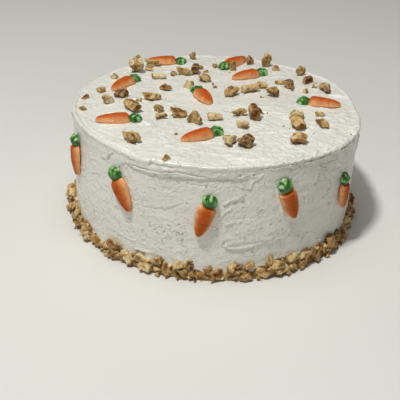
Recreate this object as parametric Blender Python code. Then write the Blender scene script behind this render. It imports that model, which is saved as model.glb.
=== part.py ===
"""Round carrot cake, two layers high under one coat of cream frosting, uncut.

Sugar carrots and chopped walnuts lie on the top, sugar carrots are pressed on the side, and a border
of chopped walnuts runs round the foot. Metres, +Z up, origin at the middle of the flat base, and -Y
is the front. The frosted cake is one solid, because nothing shows of its layers.
"""

import math
import random

import bmesh
import bpy
from mathutils import Matrix, Vector, noise

MM = 0.001

# Driving dimensions of the cake
CAKE_RADIUS = 106.5 * MM
CAKE_HEIGHT = 86.0 * MM
GAP = 0.35 * MM  # between two solids that touch
FOOT_CHAMFER = 1.2 * MM
RIM_LIP = 0.9 * MM  # how far the frosting's rim stands out past the wall
RIM_CREST = 0.8 * MM  # how far it stands up above the top
RIM_WIDTH = 4.5 * MM
FOLD_HEIGHT = 77.5 * MM  # a fold of frosting under the rim, at the front left
FOLD_DEPTH = 1.1 * MM
FOLD_FROM, FOLD_TO = 232.0, 288.0  # degrees round the cake, from +X
NOTCH_ANGLE = 247.0  # where the spatula left the rim in a small beak
NOTCH_WIDTH = 2.6
NOTCH_DEPTH = 2.0 * MM
SEGMENTS = 80
# Swells and hollows of the rim: degrees round the cake, half width in degrees, depth in millimetres
RIM_SWELLS = (
    (330.0, 20.0, 2.6),
    (250.5, 5.0, 1.6),
    (243.0, 5.0, 1.4),
    (222.0, 15.0, -2.2),
    (283.0, 12.0, -2.6),
    (263.0, 6.0, -1.0),
    (33.0, 13.0, 2.2),
    (95.0, 18.0, 1.4),
    (62.0, 10.0, -1.5),
    (150.0, 20.0, -1.4),
    (4.0, 11.0, -1.7),
    (203.0, 12.0, -0.8),
)

# A sugar carrot: a flat-backed cone with a tuft of leaves, laid along +X from tip to leaves
CARROT_LENGTH = 34.0 * MM
ROOT_LENGTH = 25.0 * MM
ROOT_HALF_WIDTH = 6.3 * MM
ROOT_THICKNESS = 5.4 * MM
WIDEST_AT = 0.8  # share of the root from its tip to where it is widest
LEAF_RADIUS = 5.3 * MM
LEAF_THICKNESS = 4.8 * MM
LEAF_LOBES = 5

# Where the top carrots lie: middle in millimetres, and the way the leaves point, in degrees
TOP_CARROTS = (
    (-68.3, -37.4, 10.0),
    (-8.8, -59.4, 33.0),
    (-71.3, 32.8, 58.0),
    (-41.6, 86.0, 4.0),
    (-10.2, 12.6, 112.0),
    (27.2, 59.6, 31.0),
    (77.8, 6.0, 170.0),
    (14.0, 86.6, 231.0),
)
# Where the side carrots are pressed on: degrees round the cake, height of the middle in millimetres,
# how far the leaves lean over, in degrees, and the size as a share of the full one
SIDE_CARROTS = (
    (203.0, 60.8, 1.0, 1.0),
    (234.7, 58.3, 27.0, 1.0),
    (267.4, 51.3, -15.0, 1.0),
    (298.1, 59.3, 20.0, 1.0),
    (328.2, 47.2, 7.0, 0.88),
    (4.5, 60.0, 6.0, 1.0),
    (34.0, 54.0, -9.0, 0.97),
    (62.0, 57.5, 14.0, 1.0),
    (89.0, 52.0, -6.0, 0.95),
    (116.0, 58.0, 9.0, 1.0),
    (142.0, 55.0, -13.0, 0.98),
    (167.0, 56.5, 7.0, 1.0),
)

# Walnut pieces on the top, each a solid of its own: middle, length, width and height in millimetres,
# the way the length points in degrees, and the kind of piece
WALNUTS = (
    (-64.0, 62.5, 14.4, 12.3, 13.2, 60.0, "fork"),
    (-53.5, 77.6, 12.5, 5.2, 6.4, 4.0, "flake"),
    (-46.0, 49.2, 12.0, 4.8, 4.2, 4.0, "flake"),
    (-26.0, 59.0, 12.3, 7.0, 7.2, 0.0, "half"),
    (-17.0, 62.0, 8.0, 6.4, 8.2, 80.0, "chunk"),
    (-39.0, 25.0, 10.3, 5.8, 5.5, -6.0, "fork"),
    (-21.5, 32.0, 10.7, 6.0, 5.9, 24.0, "chunk"),
    (-9.5, 47.5, 10.3, 8.6, 7.7, 10.0, "chunk"),
    (-71.3, 6.0, 11.8, 8.0, 7.2, 28.0, "chunk"),
    (-80.6, -5.9, 9.6, 7.5, 6.8, -8.0, "chunk"),
    (-61.0, -16.0, 15.5, 9.1, 7.0, -58.0, "half"),
    (-48.5, 4.7, 14.0, 7.7, 6.5, 8.0, "half"),
    (-41.5, -17.5, 8.3, 7.1, 5.5, 0.0, "bean"),
    (-39.5, -30.5, 9.6, 6.0, 4.8, -18.0, "fork"),
    (-26.5, -26.0, 12.5, 9.0, 7.4, 12.0, "half"),
    (-15.4, -35.4, 15.4, 10.0, 8.3, -62.0, "bean"),
    (-57.0, -70.6, 13.9, 9.1, 7.9, -40.0, "fork"),
    (-0.5, -28.8, 11.3, 6.0, 5.3, 6.0, "flake"),
    (17.0, -20.0, 11.2, 8.6, 6.4, 20.0, "fork"),
    (28.0, -22.0, 16.1, 9.6, 8.8, 104.0, "half"),
    (19.5, -41.5, 8.6, 7.5, 5.7, 0.0, "bean"),
    (9.5, -69.3, 12.3, 7.5, 6.4, 68.0, "fork"),
    (20.8, -69.9, 11.8, 10.7, 7.9, 40.0, "chunk"),
    (59.0, -20.0, 11.2, 9.1, 5.3, -6.0, "flake"),
    (58.4, -37.0, 14.4, 9.6, 8.1, -72.0, "half"),
    (56.2, -63.9, 12.3, 9.6, 7.5, 4.0, "chunk"),
    (77.3, -34.3, 13.9, 7.1, 6.4, -52.0, "fork"),
    (42.0, 87.0, 9.6, 8.6, 11.6, 90.0, "fork"),
    (68.2, 67.4, 9.6, 8.0, 8.8, 30.0, "fork"),
    (58.3, 37.0, 11.8, 8.0, 7.2, -52.0, "chunk"),
    (36.2, 35.7, 9.1, 6.0, 5.5, -12.0, "half"),
    (26.1, 26.3, 14.4, 7.5, 6.6, 24.0, "half"),
    (43.9, 19.8, 11.8, 9.1, 7.9, -10.0, "chunk"),
    (11.2, 18.4, 12.8, 9.6, 9.0, 34.0, "chunk"),
    (73.5, 50.0, 11.2, 5.4, 5.9, 34.0, "flake"),
    (86.2, 31.6, 15.0, 8.1, 7.7, 102.0, "bean"),
    (13.8, 72.2, 8.2, 5.8, 9.2, 51.0, "chunk"),
    (27.2, 89.6, 8.0, 6.6, 8.6, 51.0, "fork"),
)
FINE_FROM = 11.6  # pieces longer than this have the finer form
CORNER_POWER = 7.0  # how sharp the edges between a piece's flat faces are
ARM_POWER = 16.0  # how sharp the creases between its arms are
# Smaller bits, fused to the frosting that they lie on, with the same values
WALNUT_BITS = (
    (-81.5, 46.0, 6.8, 6.0, 5.4, 20.0, "chunk"),
    (-55.0, 67.5, 7.4, 4.8, 4.8, -10.0, "flake"),
    (-34.5, 56.0, 5.6, 4.6, 5.4, 70.0, "chunk"),
    (-88.5, 16.5, 7.0, 5.2, 4.8, 10.0, "chunk"),
    (-57.5, 0.5, 5.2, 4.6, 3.8, 30.0, "bean"),
    (-31.0, -96.5, 9.0, 5.2, 4.2, 82.0, "bean"),
    (-98.5, 2.0, 6.2, 5.6, 5.0, 40.0, "chunk"),
    (-97.0, -19.0, 5.8, 5.0, 4.0, 10.0, "chunk"),
    (65.0, -56.5, 2.8, 2.6, 2.2, 0.0, "chunk"),
    (76.5, -15.5, 7.4, 5.0, 4.6, 10.0, "fork"),
    (49.5, 77.0, 7.6, 5.4, 5.0, -14.0, "chunk"),
    (50.5, 45.0, 7.0, 5.0, 5.0, -20.0, "chunk"),
    (78.5, 41.5, 6.6, 5.2, 4.8, 60.0, "fork"),
    (70.5, 29.5, 6.8, 5.0, 4.8, 70.0, "chunk"),
    (-20.5, 97.5, 6.0, 5.6, 7.4, 80.0, "chunk"),
    (-14.0, 74.0, 6.8, 5.0, 4.8, -20.0, "flake"),
    (-8.5, 66.0, 4.8, 4.0, 3.4, 0.0, "chunk"),
    (-1.6, 79.2, 4.6, 4.2, 4.0, 0.0, "bean"),
    (35.5, 15.5, 3.2, 3.0, 2.6, 0.0, "chunk"),
    (-1.0, 34.0, 4.2, 3.2, 2.8, 15.0, "flake"),
)
BIT_SINK = 1.2 * MM

# The walnut border at the foot: a low core with two rows of pieces fused on
BORDER_CORE_WIDTH = 3.0 * MM
BORDER_CORE_HEIGHT = 9.5 * MM
BORDER_SEGMENTS = 40
BORDER_SEED = 17
# Rows: pieces round the cake, height of their undersides, distance out from the wall, share that is there
BORDER_ROWS = (
    (62, 0.4 * MM, 2.6 * MM, 1.0),
    (56, 5.0 * MM, 1.6 * MM, 0.45),
)
BORDER_LENGTHS = (9.5 * MM, 13.0 * MM)
BORDER_WIDTHS = (6.8 * MM, 9.0 * MM)
# Pieces that stick to the wall above the rows: degrees round the cake, height of the underside
BORDER_HIGH = ((262.0, 8.0), (292.5, 7.6), (344.0, 7.6), (47.0, 7.6), (118.0, 8.0), (196.0, 7.6))
BORDER_KINDS = ("chunk", "half", "fork", "chunk", "bean", "flake")
# Where the border is wider or narrower: degrees round the cake, half width in degrees, millimetres out
BORDER_SWELLS = (
    (187.0, 8.0, 2.2),
    (222.5, 7.0, -2.2),
    (242.0, 8.0, 0.9),
    (295.0, 6.0, 1.2),
    (311.0, 6.0, -1.4),
    (342.0, 13.0, -1.8),
    (20.0, 10.0, 1.0),
    (75.0, 12.0, -1.5),
    (130.0, 10.0, 1.2),
    (266.0, 34.0, -3.0),
)

FROSTING = ("frosting", (0.86, 0.84, 0.79, 1.0), 0.55)
SUGAR = ("sugar_carrot", (0.78, 0.19, 0.03, 1.0), 0.6)
NUT = ("walnut", (0.36, 0.21, 0.09, 1.0), 0.65)


def clear_scene():
    for obj in list(bpy.data.objects):
        bpy.data.objects.remove(obj, do_unlink=True)


def material(name, colour, roughness):
    made = bpy.data.materials.new(name)
    made.use_nodes = True
    shader = made.node_tree.nodes["Principled BSDF"]
    shader.inputs["Base Color"].default_value = colour
    shader.inputs["Roughness"].default_value = roughness
    shader.inputs["Metallic"].default_value = 0.0
    return made


def add_object(name, mesh, finish):
    mesh.materials.append(finish)
    obj = bpy.data.objects.new(name, mesh)
    bpy.context.scene.collection.objects.link(obj)
    return obj


def mesh_from(name, points, faces):
    """A triangulated mesh whose faces point out."""
    built = bmesh.new()
    corners = [built.verts.new(point) for point in points]
    for face in faces:
        built.faces.new([corners[i] for i in face])
    bmesh.ops.recalc_face_normals(built, faces=built.faces)
    bmesh.ops.triangulate(built, faces=built.faces)
    mesh = bpy.data.meshes.new(name)
    built.to_mesh(mesh)
    built.free()
    return mesh


def boolean(obj, others, operation):
    """Joins the others to obj, or cuts them from it, applies that, and removes them."""
    group = bpy.data.collections.new("operands")
    bpy.context.scene.collection.children.link(group)
    for other in others:
        group.objects.link(other)
        bpy.context.scene.collection.objects.unlink(other)
    modifier = obj.modifiers.new(operation.lower(), "BOOLEAN")
    modifier.operation = operation
    modifier.operand_type = "COLLECTION"
    modifier.collection = group
    modifier.solver = "EXACT"
    modifier.use_self = operation == "UNION"
    graph = bpy.context.evaluated_depsgraph_get()
    graph.update()
    applied = bpy.data.meshes.new_from_object(obj.evaluated_get(graph))
    obj.modifiers.clear()
    obj.data = applied
    for other in list(group.objects):
        bpy.data.objects.remove(other, do_unlink=True)
    bpy.data.collections.remove(group)


def shell_of(vertex):
    """The vertices joined by edges to this one."""
    shell, waiting = {vertex}, [vertex]
    while waiting:
        for edge in waiting.pop().link_edges:
            for end in edge.verts:
                if end not in shell:
                    shell.add(end)
                    waiting.append(end)
    return shell


def keep_outer_shell(mesh):
    """Fills the small voids between fused lumps: only the shell with the most vertices stays."""
    built = bmesh.new()
    built.from_mesh(mesh)
    left = set(built.verts)
    shells = []
    while left:
        shell = shell_of(next(iter(left)))
        left -= shell
        shells.append(shell)
    outer = max(shells, key=len)
    bmesh.ops.delete(built, geom=[v for v in built.verts if v not in outer], context="VERTS")
    built.to_mesh(mesh)
    built.free()


def bump(offset, half_width):
    return math.exp(-((offset / half_width) ** 2))


def angle_off(angle, middle):
    """Degrees from middle to angle, from -180 to 180."""
    return (angle - middle + 180.0) % 360.0 - 180.0


def ease(low, high, value):
    share = min(1.0, max(0.0, (value - low) / (high - low)))
    return share * share * (3.0 - 2.0 * share)


def rim_swell(angle):
    return sum(depth * MM * bump(angle_off(angle, middle), width) for middle, width, depth in RIM_SWELLS)


def fold_share(angle):
    """How strongly the fold under the rim shows at this angle, from 0 to 1."""
    middle = (FOLD_FROM + FOLD_TO) / 2
    reach = (FOLD_TO - FOLD_FROM) / 2
    return 1.0 - ease(0.6 * reach, reach, abs(angle_off(angle, middle)))


def wall_radius(angle, height):
    """The frosting's radius at this angle in degrees and this height."""
    turn = math.radians(angle)
    place = Vector((math.cos(turn), math.sin(turn), height / CAKE_RADIUS))
    waves = 0.5 * MM * noise.noise(place * 2.3) + 0.35 * MM * noise.noise(place * 6.0)
    swell = rim_swell(angle) * ease(0.35 * CAKE_HEIGHT, 0.95 * CAKE_HEIGHT, height)
    fold = 0.0
    if height < FOLD_HEIGHT:
        fold = -FOLD_DEPTH * fold_share(angle) * ease(0.75 * FOLD_HEIGHT, FOLD_HEIGHT, height)
    return CAKE_RADIUS + waves + swell + fold


def top_height(x, y):
    """The height of the frosted top."""
    place = Vector((x, y, 0.0)) / CAKE_RADIUS
    return CAKE_HEIGHT + 0.4 * MM * noise.noise(place * 2.1) + 0.2 * MM * noise.noise(place * 5.2)


def rim_notch(angle):
    return NOTCH_DEPTH * bump(angle_off(angle, NOTCH_ANGLE), NOTCH_WIDTH)


def cake_profile(angle):
    """The (radius, height) points of the cake's outline at one angle, from foot to middle."""
    foot = wall_radius(angle, 0.0) - FOOT_CHAMFER
    points = [(foot, 0.0)]
    for height in (FOOT_CHAMFER, 18 * MM, 38 * MM, 58 * MM, FOLD_HEIGHT - 0.1 * MM):
        points.append((wall_radius(angle, height), height))
    points.append((wall_radius(angle, FOLD_HEIGHT + 1.2 * MM), FOLD_HEIGHT + 0.5 * MM))
    rim = wall_radius(angle, CAKE_HEIGHT) - rim_notch(angle)
    points.append((rim + RIM_LIP, CAKE_HEIGHT - 1.6 * MM))
    turn = math.radians(angle)
    for inset, rise in ((0.8 * MM, RIM_CREST), (RIM_WIDTH, -0.3 * MM)):
        radius = rim - inset
        height = top_height(radius * math.cos(turn), radius * math.sin(turn)) + rise
        points.append((radius, height - 0.4 * rim_notch(angle)))
    for share in (0.72, 0.36):
        radius = CAKE_RADIUS * share
        points.append((radius, top_height(radius * math.cos(turn), radius * math.sin(turn))))
    return points


def frosted_cake(finish):
    """The cake under its coat of frosting, turned from one outline for each angle."""
    points = [Vector((0.0, 0.0, 0.0)), Vector((0.0, 0.0, top_height(0.0, 0.0)))]
    faces = []
    rings = 0
    for i in range(SEGMENTS):
        angle = 360.0 * i / SEGMENTS
        turn = math.radians(angle)
        outline = cake_profile(angle)
        rings = len(outline)
        points += [Vector((r * math.cos(turn), r * math.sin(turn), z)) for r, z in outline]
    for i in range(SEGMENTS):
        here, after = 2 + i * rings, 2 + (i + 1) % SEGMENTS * rings
        faces.append((0, after, here))
        faces += [(here + k, after + k, after + k + 1, here + k + 1) for k in range(rings - 1)]
        faces.append((here + rings - 1, after + rings - 1, 1))
    return add_object("frosted_cake", mesh_from("frosted_cake", points, faces), finish)


def unit_vector(draw):
    height = draw.uniform(-1.0, 1.0)
    turn = draw.uniform(0.0, 2.0 * math.pi)
    flat = math.sqrt(1.0 - height * height)
    return Vector((flat * math.cos(turn), flat * math.sin(turn), height))


def walnut_arm(draw, axis, reach, width, back):
    """The flat faces that close in one arm of a piece, as (direction, distance from the middle)."""
    axis = Vector(axis).normalized()
    side = axis.orthogonal().normalized()
    other = axis.cross(side)
    first = draw.uniform(0.0, 2.0 * math.pi)
    faces = [(axis + 0.3 * unit_vector(draw), reach), (0.3 * unit_vector(draw) - axis, back)]
    for k in range(5):
        turn = first + 2.0 * math.pi * (k + draw.uniform(-0.25, 0.25)) / 5
        way = side * math.cos(turn) + other * math.sin(turn) + axis * draw.uniform(-0.1, 0.35)
        faces.append((way, width * draw.uniform(0.8, 1.2)))
    return [(way.normalized(), distance) for way, distance in faces]


def walnut_arms(kind, seed):
    """The arms that one walnut piece is made of."""
    draw = random.Random(seed)
    if kind == "half":
        slab = walnut_arm(draw, (1.0, 0.0, 0.0), 1.0, 0.62, 1.0)
        lobes = [(draw.uniform(-0.5, 0.5), side, draw.uniform(0.0, 0.4)) for side in (-1.0, 1.0)]
        return [slab] + [walnut_arm(draw, lobe, 0.8, 0.42, 0.3) for lobe in lobes]
    if kind == "fork":
        first = draw.uniform(0.0, 2.0)
        turns = (first, first + draw.uniform(1.8, 2.3), first + draw.uniform(3.8, 4.5))
        ways = [(math.cos(turn), math.sin(turn), draw.uniform(-0.3, 0.5)) for turn in turns]
        return [walnut_arm(draw, way, draw.uniform(0.8, 1.0), 0.4, 0.3) for way in ways]
    if kind == "bean":
        ways = ((0.9, 0.45, draw.uniform(-0.2, 0.2)), (-0.9, 0.45, draw.uniform(-0.2, 0.2)))
        return [walnut_arm(draw, way, 0.95, 0.5, 0.38) for way in ways]
    if kind == "flake":
        return [walnut_arm(draw, (1.0, 0.0, 0.0), 1.0, 0.75, 1.0)]
    body = walnut_arm(draw, unit_vector(draw), 0.85, 0.72, 0.8)
    return [body, walnut_arm(draw, unit_vector(draw), 1.1, 0.42, 0.3)]


def walnut_reach(arms, direction):
    """How far the surface of a piece lies from its middle in this direction."""
    total = 0.0
    for faces in arms:
        hold = sum((max(0.0, direction.dot(way)) / distance) ** CORNER_POWER for way, distance in faces)
        total += hold ** (-ARM_POWER / CORNER_POWER)
    return total ** (1.0 / ARM_POWER)


def sphere_directions(fine):
    """Points spread evenly over a ball and the triangles between them: 42 points if fine, or 12."""
    ball = bmesh.new()
    bmesh.ops.create_icosphere(ball, subdivisions=2 if fine else 1, radius=1.0)
    ball.verts.index_update()
    directions = [v.co.normalized() for v in ball.verts]
    faces = [tuple(v.index for v in face.verts) for face in ball.faces]
    ball.free()
    return directions, faces


def walnut(name, kind, seed, size, turn, fine, finish):
    """One walnut piece about its own middle, of this length, width and height, turned by a matrix."""
    arms = walnut_arms(kind, seed)
    directions, faces = sphere_directions(fine)
    points = [direction * walnut_reach(arms, direction) for direction in directions]
    for axis in range(3):
        low, high = min(p[axis] for p in points), max(p[axis] for p in points)
        for point in points:
            point[axis] = ((point[axis] - low) / (high - low) - 0.5) * size[axis]
    return add_object(name, mesh_from(name, [turn @ point for point in points], faces), finish)


def bed_height(points, middle):
    """The highest frosting under a piece with these points, laid at middle."""
    return max(top_height(middle.x + p.x, middle.y + p.y) for p in points)


def lay_on_top(obj, x, y, sink):
    """Sets a piece down on the frosted top, sunk by this much, or clear of it where sink is less than 0."""
    points = [v.co for v in obj.data.vertices]
    obj.location = (x, y, bed_height(points, Vector((x, y, 0.0))) - min(p.z for p in points) - sink)


def walnuts_on_top(finish):
    for number, (x, y, length, width, height, heading, kind) in enumerate(WALNUTS, 1):
        turn = Matrix.Rotation(math.radians(heading), 3, "Z")
        size = (length * MM, width * MM, height * MM)
        nut = walnut(f"walnut_{number:02d}", kind, number, size, turn, length > FINE_FROM, finish)
        lay_on_top(nut, x * MM, y * MM, -GAP)


def bits_on_top(finish):
    bits = []
    for number, (x, y, length, width, height, heading, kind) in enumerate(WALNUT_BITS, 1):
        turn = Matrix.Rotation(math.radians(heading), 3, "Z")
        size = (length * MM, width * MM, height * MM)
        bit = walnut(f"bit_{number:02d}", kind, len(WALNUTS) + number, size, turn, False, finish)
        lay_on_top(bit, x * MM, y * MM, BIT_SINK)
        bits.append(bit)
    return bits


def root_half_width(share):
    """Half the root's width at a share of its length from the tip: a full cone with round shoulders."""
    if share < WIDEST_AT:
        return ROOT_HALF_WIDTH * (1.0 - (1.0 - share / WIDEST_AT) ** 2) ** 0.55
    beyond = (share - WIDEST_AT) / (1.0 - WIDEST_AT)
    return ROOT_HALF_WIDTH * math.sqrt(1.0 - 0.75 * beyond * beyond)


def carrot_root(finish):
    stations = (0.01, 0.09, 0.3, 0.56, WIDEST_AT, 1.0)
    arch = 5
    points = []
    for share in stations:
        half = root_half_width(share)
        thick = ROOT_THICKNESS * (0.3 + 0.7 * half / ROOT_HALF_WIDTH) * min(1.0, share / 0.04)
        for k in range(arch):
            lean = math.pi * k / (arch - 1)
            points.append(Vector((share * ROOT_LENGTH, half * math.cos(lean), thick * math.sin(lean) ** 0.8)))
    faces = []
    for s in range(len(stations) - 1):
        for k in range(arch):
            here, beside = s * arch + k, s * arch + (k + 1) % arch
            faces.append((here, beside, beside + arch, here + arch))
    faces.append(tuple(range(arch)))
    faces.append(tuple(range((len(stations) - 1) * arch, len(stations) * arch)))
    return add_object("root", mesh_from("root", points, faces), finish)


def carrot_leaves(finish):
    """The tuft: a low dome whose outline runs out in lobes."""
    middle = Vector((CARROT_LENGTH - LEAF_RADIUS, 0.0, 0.0))
    steps = 2 * LEAF_LOBES
    points = [middle, middle + Vector((0.0, 0.0, LEAF_THICKNESS))]
    for i in range(steps):
        turn = math.pi + 2.0 * math.pi * i / steps
        reach = LEAF_RADIUS * (1.0 if i % 2 else 0.78)
        way = Vector((math.cos(turn), math.sin(turn), 0.0))
        points.append(middle + way * reach * 0.92)
        points.append(middle + way * reach + Vector((0.0, 0.0, 0.6 * LEAF_THICKNESS)))
    faces = []
    for i in range(steps):
        here, after = 2 + 2 * i, 2 + 2 * ((i + 1) % steps)
        faces += [(0, after, here), (here, after, after + 1, here + 1), (here + 1, after + 1, 1)]
    return add_object("leaves", mesh_from("leaves", points, faces), finish)


def carrot_mesh(finish):
    """One sugar carrot as one solid, flat at the back, with its origin in the middle of that back."""
    root = carrot_root(finish)
    boolean(root, [carrot_leaves(finish)], "UNION")
    mesh = root.data
    mesh.transform(Matrix.Translation((-CARROT_LENGTH / 2, 0.0, 0.0)))
    bpy.data.objects.remove(root, do_unlink=True)
    return mesh


def place(name, mesh, location, axes, size=1.0):
    """An object with this mesh, its own axes pointing along these three directions."""
    obj = bpy.data.objects.new(name, mesh)
    bpy.context.scene.collection.objects.link(obj)
    obj.location = location
    obj.rotation_euler = Matrix(axes).transposed().to_euler()
    obj.scale = (size, size, size)
    return obj


def carrots_on_top(mesh):
    for number, (x, y, heading) in enumerate(TOP_CARROTS, 1):
        turn = Matrix.Rotation(math.radians(heading), 3, "Z")
        points = [turn @ v.co for v in mesh.vertices]
        middle = Vector((x * MM, y * MM, 0.0))
        middle.z = bed_height(points, middle) + GAP
        axes = (turn @ Vector((1, 0, 0)), turn @ Vector((0, 1, 0)), Vector((0, 0, 1)))
        place(f"carrot_top_{number}", mesh, middle, axes)


def wall_reach(mesh, axes, radial, middle, size):
    """How far out along radial the wall reaches behind a piece laid with these axes at this middle."""
    reach = 0.0
    for v in mesh.vertices:
        spot = middle + (axes[0] * v.co.x + axes[1] * v.co.y) * size
        angle = math.degrees(math.atan2(spot.y, spot.x))
        radius = wall_radius(angle, spot.z)
        sideways = Vector((spot.x, spot.y, 0.0)).normalized().dot(radial)
        reach = max(reach, radius * sideways)
    return reach


def carrots_on_side(mesh):
    for number, (angle, height, lean, size) in enumerate(SIDE_CARROTS, 1):
        turn = math.radians(angle)
        radial = Vector((math.cos(turn), math.sin(turn), 0.0))
        tangent = Vector((-math.sin(turn), math.cos(turn), 0.0))
        along = Vector((0, 0, 1)) * math.cos(math.radians(lean)) - tangent * math.sin(math.radians(lean))
        across = radial.cross(along)
        axes = (along, across, radial)
        middle = radial * CAKE_RADIUS + Vector((0.0, 0.0, height * MM))
        reach = wall_reach(mesh, axes, radial, middle, size)
        middle = radial * (reach + GAP) + Vector((0.0, 0.0, height * MM))
        place(f"carrot_side_{number:02d}", mesh, middle, axes, size)


def border_core(finish):
    """A low ring against the foot of the wall, which the cake then cuts to fit."""
    section = (
        (-3.0 * MM, 0.0),
        (0.3 * BORDER_CORE_WIDTH, 0.0),
        (BORDER_CORE_WIDTH, 0.4 * BORDER_CORE_HEIGHT),
        (0.5 * BORDER_CORE_WIDTH, BORDER_CORE_HEIGHT),
        (-3.0 * MM, BORDER_CORE_HEIGHT),
    )
    size = len(section)
    points = []
    for i in range(BORDER_SEGMENTS):
        turn = 2.0 * math.pi * i / BORDER_SEGMENTS
        for out, height in section:
            radius = CAKE_RADIUS + out
            points.append(Vector((radius * math.cos(turn), radius * math.sin(turn), height)))
    faces = []
    for i in range(BORDER_SEGMENTS):
        after = (i + 1) % BORDER_SEGMENTS
        for k in range(size):
            beside = (k + 1) % size
            faces.append((i * size + k, after * size + k, after * size + beside, i * size + beside))
    return add_object("walnut_border", mesh_from("walnut_border", points, faces), finish)


def border_swell(angle):
    return sum(out * MM * bump(angle_off(angle, middle), width) for middle, width, out in BORDER_SWELLS)


def border_pieces():
    """Where each piece of the border lies: seed, middle of its underside, size and turn."""
    draw = random.Random(BORDER_SEED)
    pieces = []
    seed = 1000
    for count, height, out, share in BORDER_ROWS:
        for i in range(count):
            seed += 1
            angle = 2.0 * math.pi * (i + draw.uniform(-0.3, 0.3)) / count
            radius = CAKE_RADIUS + out + border_swell(math.degrees(angle)) + draw.uniform(-1.0, 1.4) * MM
            lift = height + draw.uniform(-0.3, 1.0) * MM
            size = (draw.uniform(*BORDER_LENGTHS), draw.uniform(*BORDER_WIDTHS), draw.uniform(*BORDER_WIDTHS))
            tumble = Matrix.Rotation(draw.uniform(-0.7, 0.7), 3, "X")
            tumble = tumble @ Matrix.Rotation(draw.uniform(-0.6, 0.6), 3, "Y")
            turn = Matrix.Rotation(angle + math.pi / 2 + draw.uniform(-0.5, 0.5), 3, "Z") @ tumble
            if draw.random() > share:
                continue
            foot = Vector((radius * math.cos(angle), radius * math.sin(angle), lift))
            pieces.append((seed, foot, size, turn))
    for angle, height in BORDER_HIGH:
        seed += 1
        turn = math.radians(angle)
        foot = Vector((CAKE_RADIUS * math.cos(turn), CAKE_RADIUS * math.sin(turn), height * MM))
        size = (BORDER_WIDTHS[0], BORDER_WIDTHS[0], BORDER_LENGTHS[0])
        pieces.append((seed, foot, size, Matrix.Rotation(turn + math.pi / 2, 3, "Z")))
    return pieces


def cake_cutter(finish):
    """The cake's wall grown by the gap, to cut the border clear of it."""
    low, high = -5 * MM, 60 * MM
    points = [Vector((0.0, 0.0, low)), Vector((0.0, 0.0, high))]
    faces = []
    heights = (low, FOOT_CHAMFER, 18 * MM, 38 * MM, high)
    size = len(heights)
    for i in range(SEGMENTS):
        angle = 360.0 * i / SEGMENTS
        turn = math.radians(angle)
        for height in heights:
            radius = wall_radius(angle, max(0.0, height)) + GAP
            points.append(Vector((radius * math.cos(turn), radius * math.sin(turn), height)))
    for i in range(SEGMENTS):
        here, after = 2 + i * size, 2 + (i + 1) % SEGMENTS * size
        faces.append((0, after, here))
        faces += [(here + k, after + k, after + k + 1, here + k + 1) for k in range(size - 1)]
        faces.append((here + size - 1, after + size - 1, 1))
    return add_object("cutter", mesh_from("cutter", points, faces), finish)


def walnut_border(finish):
    border = border_core(finish)
    nuts = []
    for seed, middle, size, turn in border_pieces():
        kind = BORDER_KINDS[seed % len(BORDER_KINDS)]
        nut = walnut(f"border_{seed}", kind, seed, size, turn, False, finish)
        lowest = min(v.co.z for v in nut.data.vertices)
        nut.location = middle - Vector((0.0, 0.0, lowest))
        nuts.append(nut)
    bpy.context.view_layer.update()
    boolean(border, nuts, "UNION")
    boolean(border, [cake_cutter(finish)], "DIFFERENCE")
    keep_outer_shell(border.data)
    return border


def main():
    clear_scene()
    frosting, sugar, nut = material(*FROSTING), material(*SUGAR), material(*NUT)
    cake = frosted_cake(frosting)
    bits = bits_on_top(nut)
    bpy.context.view_layer.update()
    boolean(cake, bits, "UNION")
    walnuts_on_top(nut)
    carrot = carrot_mesh(sugar)
    carrots_on_top(carrot)
    carrots_on_side(carrot)
    walnut_border(nut)


main()
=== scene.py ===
"""Looks of a round carrot cake: frosting with spatula marks, chopped walnuts and sugar carrots."""

import math
import random

import bmesh
import bpy
import numpy as np
from mathutils import Matrix, Vector, noise


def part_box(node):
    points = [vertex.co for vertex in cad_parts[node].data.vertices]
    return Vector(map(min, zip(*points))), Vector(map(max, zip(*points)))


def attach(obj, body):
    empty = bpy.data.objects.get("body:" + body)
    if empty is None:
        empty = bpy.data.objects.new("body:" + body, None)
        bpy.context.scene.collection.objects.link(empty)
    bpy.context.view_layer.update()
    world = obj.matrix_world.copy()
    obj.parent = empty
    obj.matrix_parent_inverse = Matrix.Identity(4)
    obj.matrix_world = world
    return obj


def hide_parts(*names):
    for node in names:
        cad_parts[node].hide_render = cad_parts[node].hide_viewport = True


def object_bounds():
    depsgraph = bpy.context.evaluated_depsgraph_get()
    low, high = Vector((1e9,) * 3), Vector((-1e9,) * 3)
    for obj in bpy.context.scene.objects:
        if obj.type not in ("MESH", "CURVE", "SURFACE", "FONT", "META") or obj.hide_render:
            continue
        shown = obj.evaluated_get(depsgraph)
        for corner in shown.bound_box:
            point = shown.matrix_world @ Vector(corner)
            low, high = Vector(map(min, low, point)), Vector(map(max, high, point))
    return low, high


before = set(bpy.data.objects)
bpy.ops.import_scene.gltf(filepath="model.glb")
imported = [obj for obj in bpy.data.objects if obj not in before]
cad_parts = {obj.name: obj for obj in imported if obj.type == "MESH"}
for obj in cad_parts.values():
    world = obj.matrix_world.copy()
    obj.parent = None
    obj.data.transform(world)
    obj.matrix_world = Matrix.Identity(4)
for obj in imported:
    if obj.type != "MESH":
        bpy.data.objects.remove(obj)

MM = 0.001
CAD_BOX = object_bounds()

# The cake's own sizes, the same as its solid's. The fold lies under the rim, between two angles in degrees
CAKE_RADIUS = 106.5 * MM
CAKE_HEIGHT = 86.0 * MM
FOOT_CHAMFER = 1.2 * MM
FOLD_HEIGHT = 77.5 * MM
FOLD_DEPTH = 1.1 * MM
FOLD_FROM, FOLD_TO = 232.0, 288.0
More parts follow.
